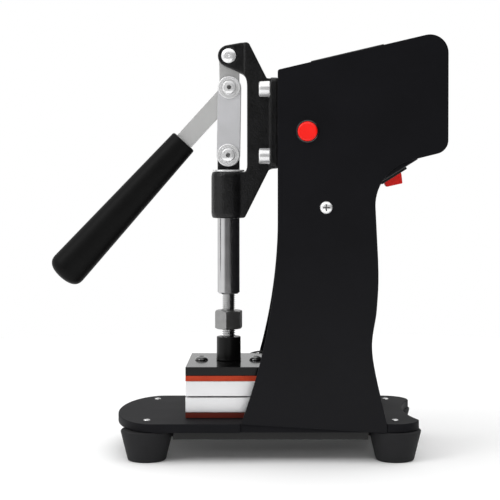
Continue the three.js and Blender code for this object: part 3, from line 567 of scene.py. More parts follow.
def merged_copy(node: str) -> Form:
    """A CAD node's shape with its triangles merged into whole faces."""
    form = Form()
    form.mesh.from_mesh(frame["nodes"][node].data)
    bmesh.ops.remove_doubles(form.mesh, verts=form.mesh.verts[:], dist=1e-6)
    bmesh.ops.dissolve_limit(form.mesh, angle_limit=math.radians(1), verts=form.mesh.verts[:],
                             edges=form.mesh.edges[:])
    return form


# ---- Putting pieces in the frame ----

JOINTS = {joint["name"]: joint for joint in frame["joints"]}


def middle(node: str) -> Vector:
    """The middle of a CAD node's box."""
    low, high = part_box(node)
    return (low + high) / 2


def body_of(node: str) -> str:
    """The body that a CAD node rides on."""
    return frame["nodes"][node]["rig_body"]


def linked(name: str, form: Form, finishes: Sequence[Finish], smooth: float, flat: bool = True) -> bpy.types.Object:
    """Makes a form an object of the scene.

    Args:
        name: the object's name.
        form: its shape.
        finishes: its finishes, in the order of its faces' material numbers.
        smooth: faces that meet at less than this many degrees are shaded as one.
        flat: whether its large faces stay flat next to their rounded edges.

    Returns:
        The object.
    """
    mesh = bpy.data.meshes.new(name)
    form.mesh.to_mesh(mesh)
    form.mesh.free()
    for finish in finishes:
        mesh.materials.append(dressed(finish))
    mesh.polygons.foreach_set("use_smooth", [True] * len(mesh.polygons))
    mesh.set_sharp_from_angle(angle=math.radians(smooth))
    made = bpy.data.objects.new(name, mesh)
    bpy.context.scene.collection.objects.link(made)
    if flat:
        even = made.modifiers.new("even_normals", "WEIGHTED_NORMAL")
        even.keep_sharp = True
    return made


def stand_in(node: str, form: Form, *finishes: Finish, smooth: float = 32, flat: bool = True) -> bpy.types.Object:
    """Makes the piece that is shown for a CAD node.

    Args:
        node: the CAD node's name.
        form: the piece's shape.
        finishes: its finishes.
        smooth: as in linked().
        flat: as in linked().

    Returns:
        The piece, riding on the node's body.
    """
    piece = linked(f"fine_{node}", form, finishes, smooth, flat)
    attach(piece, body_of(node))
    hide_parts(node)
    log.info("%s: %d faces on %s", piece.name, len(piece.data.polygons), body_of(node))
    return piece


def extra(name: str, form: Form, body: str, slot: str, *finishes: Finish, smooth: float = 32) -> bpy.types.Object:
    """Makes a small piece that has no CAD node.

    Args:
        name: the piece's name.
        form: its shape.
        body: the body that it rides on.
        slot: the record's material slot, which is not used.
        finishes: its finishes.
        smooth: as in linked().

    Returns:
        The piece.
    """
    piece = linked(name, form, finishes, smooth)
    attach(piece, body)
    log.info("%s: %d faces on %s", name, len(piece.data.polygons), body)
    return piece


def redress(nodes: Iterable[str], finish: Finish) -> None:
    """Puts a finish on CAD nodes that are shown as they are."""
    for node in nodes:
        slots = frame["nodes"][node].data.materials
        slots.clear()
        slots.append(dressed(finish))


# ---- Screws ----


class Drive(Enum):
    """What a tool fits in a screw's head."""

    HEXAGON = "a six-sided socket"
    CROSS = "a cross-shaped recess"


@dataclass
class Screw:
    """A screw along +Z: its head stands on z = 0, and its recess takes a second finish. Sizes are in millimetres."""

    head: Sequence[tuple[float, float]]  # the head's profile from the axis outwards
    shank_radius: float
    shank_length: float
    drive: Drive = Drive.HEXAGON
    flats: float = 3.0
    depth: float = 1.6
    edge: float = 0.22
    cross_half: float = 0.45

    def recess(self) -> list[Form]:
        """The tools that cut the drive's recess."""
        top = self.head[0][1]
        if self.drive is Drive.HEXAGON:
            return [prism(6, self.flats / math.sqrt(3), top - self.depth, top + 1)]
        floor, over = (top - self.depth) * MM, (top + 1) * MM
        wing, half = self.flats * MM, self.cross_half * MM
        return [block((-x, -y, floor), (x, y, over)) for x, y in ((wing, half), (half, wing))]

    def form(self) -> Form:
        """Builds the screw.

        Returns:
            The form.
        """
        shank = [(self.shank_radius, 0), (self.shank_radius, -self.shank_length), (0, -self.shank_length)]
        made = turned([*self.head, *shank], ROUND).ease(self.edge)
        made.carved(*self.recess())
        top = self.head[0][1] - self.depth / 4
        reach = self.flats * (0.6 if self.drive is Drive.HEXAGON else 1)
        for face in made.mesh.faces:
            centre = face.calc_center_median() / MM
            if centre.xy.length < reach and 0 < centre.z < top:
                face.material_index = 1
        return made


# ---- The stand ----


@dataclass
class Stand:
    """Rubber feet, the base plate that they carry, and the tray under it."""

    foot_lip: float = 2.0
    foot_edge: float = 1.6
    recess_radius: float = 7.5
    recess_depth: float = 5.0
    front_round: float = 29.5
    rear_round: float = 19.0
    scallop: float = 7.9
    edge: float = 0.7
    ends: Sequence[str] = ("front_near", "front_far", "rear_near", "rear_far")

    def foot(self, node: str) -> None:
        """Builds one foot, with its screw in the hollow underneath and the screw's end in the base plate."""
        low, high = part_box(node)
        top, height = (high.x - low.x) / 2 / MM, (high.z - low.z) / MM
        bottom = top * 0.75
        profile = [
            (0, self.recess_depth),
            (self.recess_radius - 0.5, self.recess_depth),
            (self.recess_radius, 0.4),
            (self.recess_radius + 0.5, 0),
            (bottom - self.foot_edge, 0),
            (bottom - self.foot_edge * 0.3, self.foot_edge * 0.3),
            (bottom, self.foot_edge),
            (top - 0.3, height - self.foot_lip - 0.5),
            (top, height - self.foot_lip + 0.3),
            (top, height - 0.6),
            (top - 0.6, height),
            (0, height),
        ]
        centre = middle(node)
        at = (centre.x, centre.y, low.z)
        stand_in(node, turned(profile).moved(Matrix.Translation(at)), RUBBER)
        head = Screw([(0, 2.6), (2.2, 2.6), (3.7, 1.6), (4.2, 0)], 2, 1, depth=1.4, flats=2.5)
        under = head.form().aimed((0, 0, -1), (centre.x, centre.y, low.z + self.recess_depth * MM))
        plate_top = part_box("base_plate")[1].z
        extra(f"foot_screw_{node[5:]}", under, "root", "black_steel", BLACK_OXIDE, NUT_STEEL)
        end = turned([(0, 0.7), (1.4, 0.65), (2.1, 0.45), (2.4, 0), (0, 0)], ROUND)
        end.moved(Matrix.Translation((centre.x, centre.y, plate_top)))
        extra(f"foot_rivet_{node[5:]}", end, "root", "steel", THREAD_STEEL)

    def plate(self) -> None:
        """Builds the base plate: a half ellipse in front, round rear corners and a shallow scallop between them."""
        low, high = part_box("base_plate")
        half = high.y
        front, rear = self.front_round * MM, self.rear_round * MM
        form = Form()
        first = form.mesh.verts.new((low.x + front, half, low.z))
        edges = self.arc(form, first, (low.x + front, 0), math.pi, 72)
        points = [v for v in form.mesh.verts]
        squeeze = Matrix.Translation((low.x + front, 0, 0)) @ Matrix.Diagonal((front / half, 1, 1, 1))
        bmesh.ops.transform(form.mesh, verts=points, matrix=squeeze @ Matrix.Translation((-low.x - front, 0, 0)))
        corner = half - rear
        reach = (corner**2 + (self.scallop * MM) ** 2) / (2 * self.scallop * MM)
        turn = math.asin(corner / reach)
        last = self.line(form, edges, (high.x - rear, -half))
        last = self.arc(form, last, (high.x - rear, -corner), math.pi / 2, 24)
        last = self.arc(form, last, (high.x - self.scallop * MM + reach, 0), -2 * turn, 32)
        last = self.arc(form, last, (high.x - rear, corner), math.pi / 2, 24)
        form.mesh.edges.new((last, first))
        face = bmesh.ops.contextual_create(form.mesh, geom=form.mesh.edges[:])["faces"][0]
        top = bmesh.ops.extrude_face_region(form.mesh, geom=[face])["geom"]
        raised = [v for v in top if isinstance(v, bmesh.types.BMVert)]
        bmesh.ops.translate(form.mesh, verts=raised, vec=(0, 0, high.z - low.z))
        form.seal()
        notches = []
        for node in ("side_panel_near", "side_panel_far"):
            near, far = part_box(node)
            foot_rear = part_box("back_wall")[1].x
            side = math.copysign(1, near.y + far.y)
            sides = sorted((side * (min(abs(near.y), abs(far.y)) - 0.3 * MM), side * (half + MM)))
            front_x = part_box("front_wall")[0].x
            start = (front_x - self.sweep_reach(), sides[0], low.z - MM)
            notches.append(block(start, (foot_rear + 0.6 * MM, sides[1], high.z + MM)))
        form.carved(*notches).seal().ease(self.edge, 3)
        stand_in("base_plate", form, BASE_PAINT)

    @staticmethod
    def sweep_reach(drop: float = 137.7, radius: float = 390.0) -> float:
        """How far the panels' front edges sweep forward at the base, with a little clearance."""
        return (radius - math.sqrt(radius**2 - drop**2) + 0.3) * MM

    @staticmethod
    def arc(
        form: Form, start: bmesh.types.BMVert, centre: tuple[float, float], turn: float, steps: int
    ) -> bmesh.types.BMVert:
        """Draws an arc from a vertex and returns its last vertex.

        Args:
            form: what is being drawn.
            start: where the arc starts.
            centre: its centre in X and Y.
            turn: its angle in radians, anticlockwise.
            steps: the edges along it.

        Returns:
            The last vertex.
        """
        made = bmesh.ops.spin(form.mesh, geom=[start], cent=(*centre, start.co.z), axis=(0, 0, 1), angle=turn,
                              steps=steps, use_merge=False, use_duplicate=False)
        return next(v for v in made["geom_last"] if isinstance(v, bmesh.types.BMVert))

    @staticmethod
    def line(form: Form, start: bmesh.types.BMVert, end: tuple[float, float]) -> bmesh.types.BMVert:
        """Draws a straight edge from a vertex and returns its end."""
        vert = form.mesh.verts.new((*end, start.co.z))
        form.mesh.edges.new((start, vert))
        return vert

    def build(self) -> None:
        """Builds the stand."""
        for end in self.ends:
            self.foot(f"foot_{end}")
        self.plate()
        stand_in("base_pan", merged_copy("base_pan").ease(0.3), BLACK_PLASTIC)


# ---- The housing ----


@dataclass
class Housing:
    """The painted sheets of the column and head, with what is fixed to them."""

    edge: float = 0.3
    sheets: Sequence[str] = (
        "side_panel_near", "side_panel_far", "front_wall", "top_cover", "rear_cover", "switch_plate", "back_wall",
    )

    def build(self) -> None:
        """Builds the sheets, the side screws and the inlet, and dresses what is hidden inside."""
        for node in self.sheets:
            width = 0.8 if node == "switch_plate" else self.edge
            stand_in(node, merged_copy(node).ease(width, 2), PAINT, smooth=28)
        self.side_screws()
        self.inlet()
        redress(["control_board"], CIRCUIT)
        redress(["tie_bar", "backing_plate"], THREAD_STEEL)

    def side_screws(self) -> None:
        """Builds the pan-head screws that hold the panels to the tie bar."""
        head = [(0, 1.9), (2.0, 1.8), (3.3, 1.3), (4.0, 0.6), (4.3, 0)]
        for node, side in (("side_screw_near", -1), ("side_screw_far", 1)):
            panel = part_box(f"side_panel_{node[11:]}")
            face = panel[0].y if side < 0 else panel[1].y
            centre = middle(node)
            form = Screw(head, 2, 12, Drive.CROSS, flats=2.3, depth=1.3).form()
            form.aimed((0, side, 0), (centre.x, face + side * 0.1 * MM, centre.z))
            stand_in(node, form, CHROME, NUT_STEEL)

    def inlet(self) -> None:
        """Builds the power inlet: a moulded frame with a deep socket and three blades."""
        low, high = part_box("power_inlet")
        centre = middle("power_inlet")
        rim = high.x - 2.2 * MM
        plate = block((rim, low.y, low.z), high)
        corners = [e for e in plate.mesh.edges if abs(e.verts[0].co.x - e.verts[1].co.x) > MM]
        bmesh.ops.bevel(plate.mesh, geom=corners, offset=3 * MM, affect="EDGES", segments=8, profile=0.5, material=-1)
        plate.ease(0.6, 3)
        inset = 2.2 * MM
        body = block((low.x, low.y + inset, low.z + inset), (rim + 0.5 * MM, high.y - inset, high.z - inset)).ease(0.5)
        socket = block((high.x - 16 * MM, -12 * MM, centre.z - 8.2 * MM), (high.x + MM, 12 * MM, centre.z + 8.2 * MM))
        along = [e for e in socket.mesh.edges if abs(e.verts[0].co.x - e.verts[1].co.x) > MM]
        keyed = [e for e in along if e.verts[0].co.z > centre.z]
        bmesh.ops.bevel(socket.mesh, geom=keyed, offset=4 * MM, affect="EDGES", segments=1, profile=0.5, material=-1)
        form = plate.carved(body, operation="UNION").carved(socket)
        for y, z in ((-7, -2), (0, 2), (7, -2)):
            floor = high.x - 16.5 * MM
            start = (floor, (y - 1) * MM, centre.z + (z - 2) * MM)
            blade = block(start, (floor + 11 * MM, (y + 1) * MM, centre.z + (z + 2) * MM)).ease(0.4)
            for face in blade.mesh.faces:
                face.material_index = 1
            form.joined(blade)
        stand_in("power_inlet", form, BLACK_PLASTIC, CHROME)


# ---- The clamp ----


@dataclass
class Clamp:
    """The cast frame on the column, its bolts and the bush that guides the rod."""

    voxel: float = 0.55
    softening: int = 6
    collar_radius: float = 12.4
    end_radius: float = 11.9
    bore_radius: float = 10.3
    ear_radius: float = 7.8
    ear_bore: float = 5.5
    filler_half: float = 21.6
    filler_span: tuple[float, float] = (0.2013, 0.265)  # its bottom and top, in metres

    def frame_form(self) -> Form:
        """The casting, with soft fillets where its web, collar, ears and flange meet."""
        low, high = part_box("clamp_frame")
        rod = middle("plunger_rod")
        bottom, top = (low.z / MM, (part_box("guide_bush")[1].z - 1.3 * MM) / MM)
        collar = [
            (self.bore_radius, bottom), (self.end_radius - 1, bottom), (self.end_radius, bottom + 1),
            (self.collar_radius, bottom + 3.5), (self.collar_radius, top - 3.5),
            (self.end_radius, top - 1), (self.end_radius - 1, top), (self.bore_radius, top), (self.bore_radius, bottom),
        ]
        form = merged_copy("clamp_frame")
        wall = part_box("front_wall")[0].x
        half, (base, over) = self.filler_half * MM, self.filler_span
        form.joined(block((high.x - MM, -half, base), (wall + 0.15 * MM, half, over)))
        form.joined(turned(collar).moved(Matrix.Translation((rod.x, 0, 0))))
        pivot = anchor("lever_swing")
        for side in (-1, 1):
            bore, rim = self.ear_bore, self.ear_radius
            ear = [(bore, 3.4), (rim, 3.4), (rim, 8.2), (bore, 8.2), (bore, 3.4)]
            form.joined(turned(ear).aimed((0, side, 0), pivot))

        def add(scratch: bpy.types.Object) -> None:
            """Remeshes and softens."""
            remesh = scratch.modifiers.new("remesh", "REMESH")
            remesh.mode = "VOXEL"
            remesh.voxel_size = self.voxel * MM
            soften = scratch.modifiers.new("soften", "SMOOTH")
            soften.factor = 0.5
            soften.iterations = self.softening

        return form.modified(add)

    def build(self) -> None:
        """Builds the casting, the bush and the four bolts."""
        stand_in("clamp_frame", self.frame_form(), CASTING, smooth=70, flat=False)
        low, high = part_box("guide_bush")
        rod = middle("plunger_rod")
        bottom, top, rim = low.z / MM, high.z / MM, (high.x - low.x) / 2 / MM
        profile = [
            (8.3, bottom), (10.0, bottom), (10.0, top - 1.2), (rim, top - 1.2), (rim, top), (8.7, top),
            (8.3, top - 0.4), (8.3, bottom),
        ]
        bush = turned(profile).ease(0.25, 3).moved(Matrix.Translation((rod.x, 0, 0)))
        stand_in("guide_bush", bush, CHROME)
        for level in ("upper", "lower"):
            for side in ("near", "far"):
                self.bolt(f"mount_bolt_{level}_{side}")

    def bolt(self, node: str) -> None:
        """Builds one cap screw, whose head faces the lever."""
        low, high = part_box(node)
        centre = middle(node)
        radius = (high.z - low.z) / 2 / MM
        height = 8.0
        head = [(0, height), (radius - 0.7, height), (radius, height - 0.7), (radius, 0.4), (radius - 0.3, 0)]
        length = (high.x - low.x) / MM - height
        form = Screw(head, 3, length, flats=5, depth=4).form()
        stand_in(node, form.aimed((-1, 0, 0), (low.x + height * MM, centre.y, centre.z)), CHROME, NUT_STEEL)


# ---- Platens and plunger ----


@dataclass
class Platens:
    """The lower and upper heated platens with their insulation, and the black plate on top."""

    edge: float = 0.35
    lead_radius: float = 0.7

    def build(self) -> None:
        """Builds the stack, its screws and the lead of the upper heater."""
        for node in ("lower_platen", "upper_platen"):
            stand_in(node, merged_copy(node).ease(self.edge, 3), ALUMINIUM)
        stand_in("upper_insulation", merged_copy("upper_insulation").ease(0.25), BOARD_RED)
        # The lower board takes the darker board finish, whose colour holds painted shade.
        stand_in("lower_insulation", merged_copy("lower_insulation").ease(0.25), BOARD_TONE_AND_SHADE)
        stand_in("top_plate", merged_copy("top_plate").ease(0.3, 3), PLATE_ENAMEL)
        for end in ("front", "rear"):
            node = f"top_plate_screw_{end}"
            low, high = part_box(node)
            centre = middle(node)
            radius, height = (high.x - low.x) / 2 / MM, 2.75
            angles = [a / 18 * math.pi for a in range(8, 0, -1)]
            head = [(radius * math.cos(angle), height * math.sin(angle)) for angle in angles]
            head = [(0, height), (radius * 0.3, height), *head[1:], (radius, 0.2), (radius, 0)]
            form = Screw(head, 2, (high.z - low.z) / MM - height, flats=3, depth=1.3, edge=0.1).form()
            form.moved(Matrix.Translation((centre.x, centre.y, high.z - height * MM)))
            stand_in(node, form, GLOSS_OXIDE, CHROME)
        redress(["lower_heater", "upper_heater"], THREAD_STEEL)
        self.lead()

    def lead(self) -> None:
        """Builds the upper heater's lead, which loops beside the platen and bends over to the column."""
        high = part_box("heater_lead")[1]
        level = middle("upper_heater")
        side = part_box("upper_platen")[1].y / MM
        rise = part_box("top_plate")[1].z / MM
        x, z, y, wall = level.x / MM, level.z / MM, high.y / MM - 0.7, high.x / MM
        route = [
            (x, side - 0.7, z), (x, side + 1.2, z), (x + 0.6, y - 1, z + 0.8), (x + 2.6, y, z + 3.6),
            (x + 6, y, z + 7.8),
            (x + 10.1, y, rise - 4.3), (x + 14.1, y, rise - 1.5), (x + 18.1, y, rise), (x + 22.6, y, rise + 0.5),
            (x + 27.1, y, rise - 0.3), (x + 31.1, y, rise - 1.8), (wall, y, rise - 3.3),
        ]
        curve = bpy.data.curves.new("lead_line", "CURVE")
        curve.dimensions = "3D"
        curve.resolution_u = 8
        spline = curve.splines.new("BEZIER")
        spline.bezier_points.add(len(route) - 1)
        for knot, place in zip(spline.bezier_points, route):
            knot.co = Vector(place) * MM
            knot.handle_left_type = knot.handle_right_type = "AUTO"
        line = self.meshed(curve)
        path = [v.co.copy() for v in line.vertices]
        curve.bevel_depth = self.lead_radius * MM
        curve.bevel_resolution = 5
        curve.use_fill_caps = True
        form = Form()
        form.mesh.from_mesh(self.meshed(curve))
        piece = linked("fine_heater_lead", form.seal(), [SILICONE], 60, flat=False)
        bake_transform(piece)
        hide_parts("heater_lead")
        grommet = turned([(0.75, 0), (2.6, 0), (2.6, 0.8), (1.8, 1.3), (1.2, 4.5), (0.75, 4.5), (0.75, 0)], ROUND)
        grommet.ease(0.1).aimed((-1, 0, 0), (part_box("front_wall")[0].x, y * MM, path[-1].z))
        extra("lead_grommet", grommet, "root", "silicone", SILICONE)

    @staticmethod
    def meshed(curve: bpy.types.Curve) -> bpy.types.Mesh:
        """A curve made a mesh."""
        line = bpy.data.objects.new("lead_line", curve)
        bpy.context.scene.collection.objects.link(line)
        mesh = bpy.data.meshes.new_from_object(line.evaluated_get(bpy.context.evaluated_depsgraph_get()))
        bpy.data.objects.remove(line)
        return mesh


@dataclass
class Plunger:
    """The rod, its head, the pressure screw with its nut, and the boss that it turns in."""

    pitch: float = 1.5
    thread_depth: float = 0.85
    nut_flats: float = 18.0
    nut_turn: float = -8.0

    def thread(self) -> Form:
        """The pressure screw: a ridge that climbs by its pitch each turn, cut off flat at both ends."""
        low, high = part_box("pressure_screw")
        radius, root = (high.x - low.x) / 2 / MM, (high.x - low.x) / 2 / MM - self.thread_depth
        turns = round((high.z - low.z) / MM / self.pitch) + 3
        p = self.pitch
        ridge = [(root, 0), (root, 0.14 * p), (radius, 0.44 * p), (radius, 0.56 * p), (root, 0.86 * p), (root, p)]
        form = Form()
        bottom = low.z / MM - 1.5 * p
        corners = [form.mesh.verts.new((r * MM, 0, (bottom + z) * MM)) for r, z in ridge]
        edges = [form.mesh.edges.new(pair) for pair in zip(corners, corners[1:])]
        steps = 40
        bmesh.ops.spin(form.mesh, geom=corners + edges, cent=(0, 0, 0), axis=(0, 0, 1), angle=2 * math.pi * turns,
                       dvec=(0, 0, p / steps * MM), steps=steps * turns, use_merge=False, use_duplicate=False)
        bmesh.ops.remove_doubles(form.mesh, verts=form.mesh.verts[:], dist=4e-6)
        for z, up in ((low.z, -1), (high.z, 1)):
            whole = form.mesh.verts[:] + form.mesh.edges[:] + form.mesh.faces[:]
            bmesh.ops.bisect_plane(form.mesh, geom=whole, plane_co=(0, 0, z), plane_no=(0, 0, up), clear_outer=True)
        bmesh.ops.holes_fill(form.mesh, edges=[e for e in form.mesh.edges if e.is_boundary], sides=0)
        bmesh.ops.recalc_face_normals(form.mesh, faces=form.mesh.faces[:])
        at = middle("pressure_screw")
        return form.moved(Matrix.Translation((at.x, at.y, 0)))

    def nut(self) -> Form:
        """The nut: a hexagon with its corners turned down at both ends, and a countersunk bore."""
        low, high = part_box("jam_nut")
        at = middle("jam_nut")
        bottom, top = low.z / MM, high.z / MM
        corner = self.nut_flats / math.sqrt(3)
        fall = 1.1
        edge = self.nut_flats / 2 - 0.25
        form = prism(6, corner, bottom, top).moved(Matrix.Rotation(math.radians(self.nut_turn), 4, "Z"))
        rim = corner + 0.4
        limit = turned([(0, bottom), (edge, bottom), (rim, bottom + fall), (rim, top - fall), (edge, top), (0, top)])
        bore = turned([
            (0, bottom - 1), (5.9, bottom - 0.01), (5.0, bottom + 0.9), (5.0, top - 0.9), (5.9, top + 0.01),
            (0, top + 1),
        ], ROUND)
        form.carved(limit, operation="INTERSECT").carved(bore)
        return form.moved(Matrix.Translation((at.x, at.y, 0)))

    def build(self) -> None:
        """Builds the plunger from the boss up to its head."""
        stand_in("pressure_screw", self.thread(), THREAD_STEEL, smooth=50)
        stand_in("jam_nut", self.nut(), NUT_STEEL, smooth=20)
        low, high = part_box("platen_boss")
        at = Matrix.Translation((middle("platen_boss").x, 0, 0))
        bottom, top, radius = low.z / MM, high.z / MM, (high.x - low.x) / 2 / MM
        boss = [
            (0, bottom), (radius, bottom), (radius, bottom + 1.2), (radius - 0.2, bottom + 1.6), (radius - 0.25, top),
            (5.1, top), (5.1, bottom + 2.8), (0, bottom + 2.8),
        ]
        stand_in("platen_boss", turned(boss).ease(0.45, 3).moved(at), BLACK_OXIDE)
        low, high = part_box("plunger_rod")
        bottom, top, radius = low.z / MM, high.z / MM, (high.x - low.x) / 2 / MM
        rod = [(5.1, bottom), (radius - 1, bottom), (radius, bottom + 1), (radius, top), (4.3, top), (4.3, top - 11),
               (0, top - 11), (0, bottom + 17), (5.1, bottom + 17), (5.1, bottom)]
        stand_in("plunger_rod", turned(rod).moved(at), ROD_STEEL)
        stand_in("plunger_head", merged_copy("plunger_head").ease(0.2), CASTING, smooth=40)
        redress(["wrist_pin"], THREAD_STEEL)


# ---- Lever and links ----


def anchor(joint: str) -> Vector:
    """A hinge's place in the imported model."""
    entry = JOINTS[joint]
    return Vector(entry.get("anchor_m") or entry["pos_m"])


@dataclass
class Toggle:
    """The lever with its grip, the two links, and the pins and screws that they turn on."""

    lever_angle: float = 47.6
    bend: tuple[float, float] = (0.2, -2.3)  # from the knee to where the arm starts
    hub_width: float = 14.3
    arm_width: float = 13.3
    tang: float = 107.0
    grip_at: float = 49.0
    grip_length: float = 132.0
    grip_start: float = 9.9
    grip_end: float = 13.5
    grip_flatten: float = 0.74
    grip_dome: float = 9.0
    grip_steps: int = 14
    link_width: float = 16.5

    def build(self) -> None:
        """Builds the lever, the links, the pins and the screws."""
        pivot, knee = anchor("lever_swing"), anchor("knee_fold")
        wrist = middle("wrist_pin")
        self.lever(pivot, knee)
        self.grip(knee)
        for side, sign in (("near", -1), ("far", 1)):
            low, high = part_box(f"link_{side}")
            ends = (Vector((knee.x, 0, knee.z)), Vector((wrist.x, 0, wrist.z)))
            form = bar(*ends, self.link_width * MM, (high.y - low.y) / 2)
            form.moved(Matrix.Translation((0, (low.y + high.y) / 2, 0))).ease(0.3, 3)
            stand_in(f"link_{side}", form, LINK_STEEL)
            face = (high.y if sign > 0 else -low.y) + 0.1 * MM
            for place, at in (("knee", knee), ("wrist", wrist)):
                self.link_screw(f"{place}_screw_{side}", (at.x, sign * face, at.z), sign)
        self.pin(pivot)

    def lever(self, pivot: Vector, knee: Vector) -> None:
        """Builds the cranked lever: a short hub between the pins and a long arm into the grip."""
        low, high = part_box("lever")
        half = (high.y - low.y) / 2
        start = self.bend_place(knee)
        hub = bar(Vector((pivot.x, 0, pivot.z)), Vector((knee.x, 0, knee.z)), self.hub_width * MM, half).ease(0.3, 3)
        arm = bar(start, start + self.along() * self.tang * MM, self.arm_width * MM, half).ease(0.3, 3)
        stand_in("lever", hub.carved(arm, operation="UNION"), LEVER_STEEL)

    def bend_place(self, knee: Vector) -> Vector:
        """Where the arm's line starts."""
        return Vector((knee.x + self.bend[0] * MM, 0, knee.z + self.bend[1] * MM))

    def along(self) -> Vector:
        """The direction from the bend to the grip's end."""
        angle = math.radians(self.lever_angle)
        return Vector((-math.cos(angle), 0, -math.sin(angle)))

    def grip(self, knee: Vector) -> None:
        """Builds the moulded grip: an oval that swells towards its domed end."""
        length, first, last = self.grip_length, self.grip_start, self.grip_end
        dome, steps = self.grip_dome, self.grip_steps
        tip = []
        for i in range(steps + 1):
            angle = i / steps * math.pi / 2
            tip.append((last * max(math.cos(angle), 0) ** 0.8, length - dome * (1 - math.sin(angle) ** 0.8)))
        profile = [(0, 0), (first - 1.2, 0), (first - 0.5, 0.25), (first, 1.1), *tip]
        slot = block((-7.1 * MM, -3.5 * MM, -MM), (7.1 * MM, 3.5 * MM, 30 * MM))
        form = turned(profile).moved(Matrix.Diagonal((1, self.grip_flatten, 1, 1))).carved(slot)
        start = self.bend_place(knee) + self.along() * self.grip_at * MM
        turn = Matrix.Rotation(-math.pi / 2 - math.radians(self.lever_angle), 4, "Y")
        stand_in("grip", form.moved(Matrix.Translation(start) @ turn), GRIP, smooth=40)

    def link_screw(self, node: str, at: tuple[float, float, float], sign: int) -> None:
        """Builds a link screw: a domed head on a wide flange with a turned groove."""
        low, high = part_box(node)
        length = (high.y - low.y) / MM - 4.0
        head = [
            (0, 4.0), (2.6, 4.0), (4.2, 3.6), (4.9, 2.7), (4.95, 0.5), (5.8, 0.5), (6.0, 1.35), (7.7, 1.35),
            (8.1, 0.9), (8.1, 0),
        ]
        radius = 2.2 if node == "knee_screw_far" else 4
        form = Screw(head, radius, length, flats=3, depth=1.6, edge=0.12).form()
        stand_in(node, form.aimed((0, sign, 0), at), CHROME, NUT_STEEL)

    def pin(self, pivot: Vector) -> None:
        """Builds the lever's pivot pin, with a turned centre in each slightly domed end."""
        low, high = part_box("lever_pin")
        half, radius = (high.y - low.y) / 2 / MM, (high.x - low.x) / 2 / MM
        end = [
            (0, half - 0.5), (0.7, half - 0.1), (1.0, half), (radius * 0.6, half - 0.25),
            (radius * 0.92, half - 1.0), (radius, half - 1.5),
        ]
        other = [(r, -z) for r, z in reversed(end)]
        stand_in("lever_pin", turned([*end, *other], ROUND).aimed((0, 1, 0), pivot), CHROME)


# ---- Switches and controller ----


@dataclass
class Controls:
    """The push button, the rocker switch and the temperature controller."""

    button_radius: float = 6.7
    key_radius: float = 4.1
    key_height: float = 8.0

    def build(self) -> None:
        """Builds the button, the rocker and the controller."""
        self.button()
        stand_in("rocker_body", merged_copy("rocker_body").ease(0.5, 3), BLACK_PLASTIC)
        stand_in("rocker_paddle", merged_copy("rocker_paddle").ease(0.5, 3), SWITCH_RED)
        stand_in("controller_case", merged_copy("controller_case").ease(0.6, 3), BLACK_PLASTIC)
        stand_in("controller_window", merged_copy("controller_window").ease(0.15), LENS)
        out = -Vector(JOINTS["key_set_press"]["axis"])
        for name in ("down", "set", "up"):
            self.key(f"key_{name}", out)

    def key(self, node: str, out: Vector) -> None:
        """Builds one slightly dished key."""
        r, h = self.key_radius, self.key_height / 2
        profile = [(0, -h), (r, -h), (r, h - 0.7), (r - 0.25, h - 0.2), (r - 0.8, h), (r - 1.4, h - 0.1), (0, h - 0.35)]
        stand_in(node, turned(profile, ROUND).aimed(out, middle(node)), GREY_PLASTIC)

    def button(self) -> None:
        """Builds the push button: a black bezel round a red cap with a rounded rim."""
        low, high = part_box("button_body")
        cap_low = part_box("button_cap")[0]
        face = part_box("side_panel_near")[0].y
        centre = middle("button_body")
        rim, front, back = (high.x - low.x) / 2 / MM, (face - low.y) / MM, (face - high.y) / MM
        bore = self.button_radius + 0.45
        bezel = [
            (0, back), (bore + 0.5, back), (bore + 0.5, 0.1), (rim, 0.1), (rim, front - 0.9), (rim - 0.5, front - 0.2),
            (rim - 1.0, front), (bore, front - 0.15), (bore, back + 5), (0, back + 5),
        ]
        at = (centre.x, face, centre.z)
        stand_in("button_body", turned(bezel).aimed((0, -1, 0), at), GLOSS_PLASTIC)
        top, r = (face - cap_low.y) / MM, self.button_radius
        cap = [
            (0, -8), (r, -8), (r, top - 1.1), (r - 0.15, top - 0.75), (r - 0.45, top - 0.35), (r - 0.8, top - 0.1),
            (r - 1.1, top), (r - 1.5, top - 0.1), (r - 1.8, top - 0.2), (0, top - 0.1),
        ]
        stand_in("button_cap", turned(cap).aimed((0, -1, 0), at), SWITCH_RED)


# ---- Studio ----


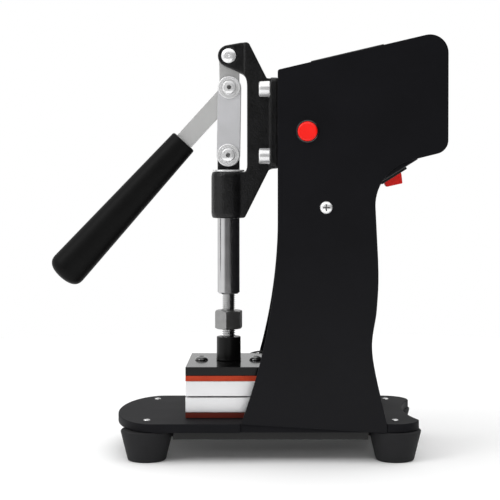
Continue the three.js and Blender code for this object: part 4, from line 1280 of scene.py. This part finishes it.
@dataclass
class Studio:
    """A plain pale floor, soft light and a long lens at the height of the press's upper half."""

    camera_place: tuple[float, float, float] = (0.0234, -1.030, 0.2035)
    lens: float = 103.0
    pitch: float = 1.2
    shift: tuple[float, float] = (-0.058, -0.11)
    left: float = 0.95
    overhead: float = 1.4
    behind: float = 0.8
    front: float = 0.15
    key: float = 6.0
    key_place: tuple[float, float, float] = (-1.1, -0.9, 1.1)
    fill: float = 6.0
    fill_place: tuple[float, float, float] = (0.15, -1.2, 0.15)
    floor_size: float = 0.7

    def build(self) -> None:
        """Builds the camera, the floor and the light."""
        self.camera()
        self.floor()
        self.light()

    def camera(self) -> None:
        """Sets up the camera, level but for a slight downward tilt."""
        data = bpy.data.cameras.new("camera")
        data.lens = self.lens
        data.shift_x, data.shift_y = self.shift
        camera = bpy.data.objects.new("camera", data)
        camera.location = self.camera_place
        camera.rotation_euler = (math.radians(90 - self.pitch), 0, 0)
        bpy.context.scene.collection.objects.link(camera)
        bpy.context.scene.camera = camera

    def floor(self) -> None:
        """Lays the floor."""
        form = Form()
        bmesh.ops.create_circle(form.mesh, cap_ends=True, segments=FINE, radius=self.floor_size)
        finish = Finish("pale_floor", grey(0.95), grey(0.96), 0.8, Grain.GROUND, 60.0, 0.01,
                        specular=0.1, mottle_size=400)
        linked("floor", form, [finish], 30)

    def softbox(
        self, name: str, place: tuple[float, float, float], size: float, watts: float, shine: bool
    ) -> None:
        """Hangs a square soft light that faces the press.

        Args:
            name: its name.
            place: where it hangs.
            size: its width in metres.
            watts: its power.
            shine: whether glossy surfaces mirror it.
        """
        data = bpy.data.lights.new(name, "AREA")
        data.shape = "SQUARE"
        data.size = size
        data.energy = watts
        lamp = bpy.data.objects.new(name, data)
        lamp.location = place
        lamp.visible_glossy = shine
        aim = Vector((0, 0, 0.15)) - Vector(place)
        lamp.rotation_euler = aim.to_track_quat("-Z", "Y").to_euler()
        bpy.context.scene.collection.objects.link(lamp)

    def light(self) -> None:
        """Lights the press from the upper left and from above, and leaves its right side dark, as flags would."""
        world = bpy.data.worlds.new("studio")
        world.use_nodes = True
        bpy.context.scene.world = world
        bpy.context.scene.view_settings.view_transform = "Standard"
        tent = Shade.of_world(world)
        way = tent.node("ShaderNodeSeparateXYZ", {}, {0: tent.node("ShaderNodeTexCoord", {}, {}, 0)})
        across = Value(tent, way.socket.node.outputs[0])
        deep = Value(tent, way.socket.node.outputs[1])
        up = Value(tent, way.socket.node.outputs[2])
        left = tent.ramp(across * -1.0, 0.4, 0.85) * self.left
        overhead = tent.ramp(up, 0.3, 0.75) * self.overhead
        behind = tent.ramp(deep, 0.1, 0.7) * self.behind
        low = tent.ramp(up * -1.0, 0.12, 0.4)
        front = (1.0 - tent.ramp(across, 0.0, 0.45)) * self.front + 0.01
        glow = left.larger(overhead).larger(behind).larger(low).larger(front)
        seen = tent.node("ShaderNodeLightPath", {}, {}, 0)
        strength = tent.node("ShaderNodeMix", {}, {0: seen, 2: glow, 3: 1.0})
        tent.tree.links.new(strength.socket, tent.shader.inputs["Strength"])
        tent.shader.inputs["Color"].default_value = (1, 1, 1, 1)
        self.softbox("key_light", self.key_place, 0.7, self.key, True)
        self.softbox("front_fill", self.fill_place, 0.8, self.fill, False)


def main() -> None:
    """Builds the studio and every sub-assembly in order."""
    logging.basicConfig(level=logging.INFO, format="%(name)s: %(message)s")
    for part in (Studio(), Stand(), Housing(), Clamp(), Platens(), Plunger(), Toggle(), Controls()):
        log.info("building %s", type(part).__name__)
        part.build()


if __name__ == "__main__":
    main()
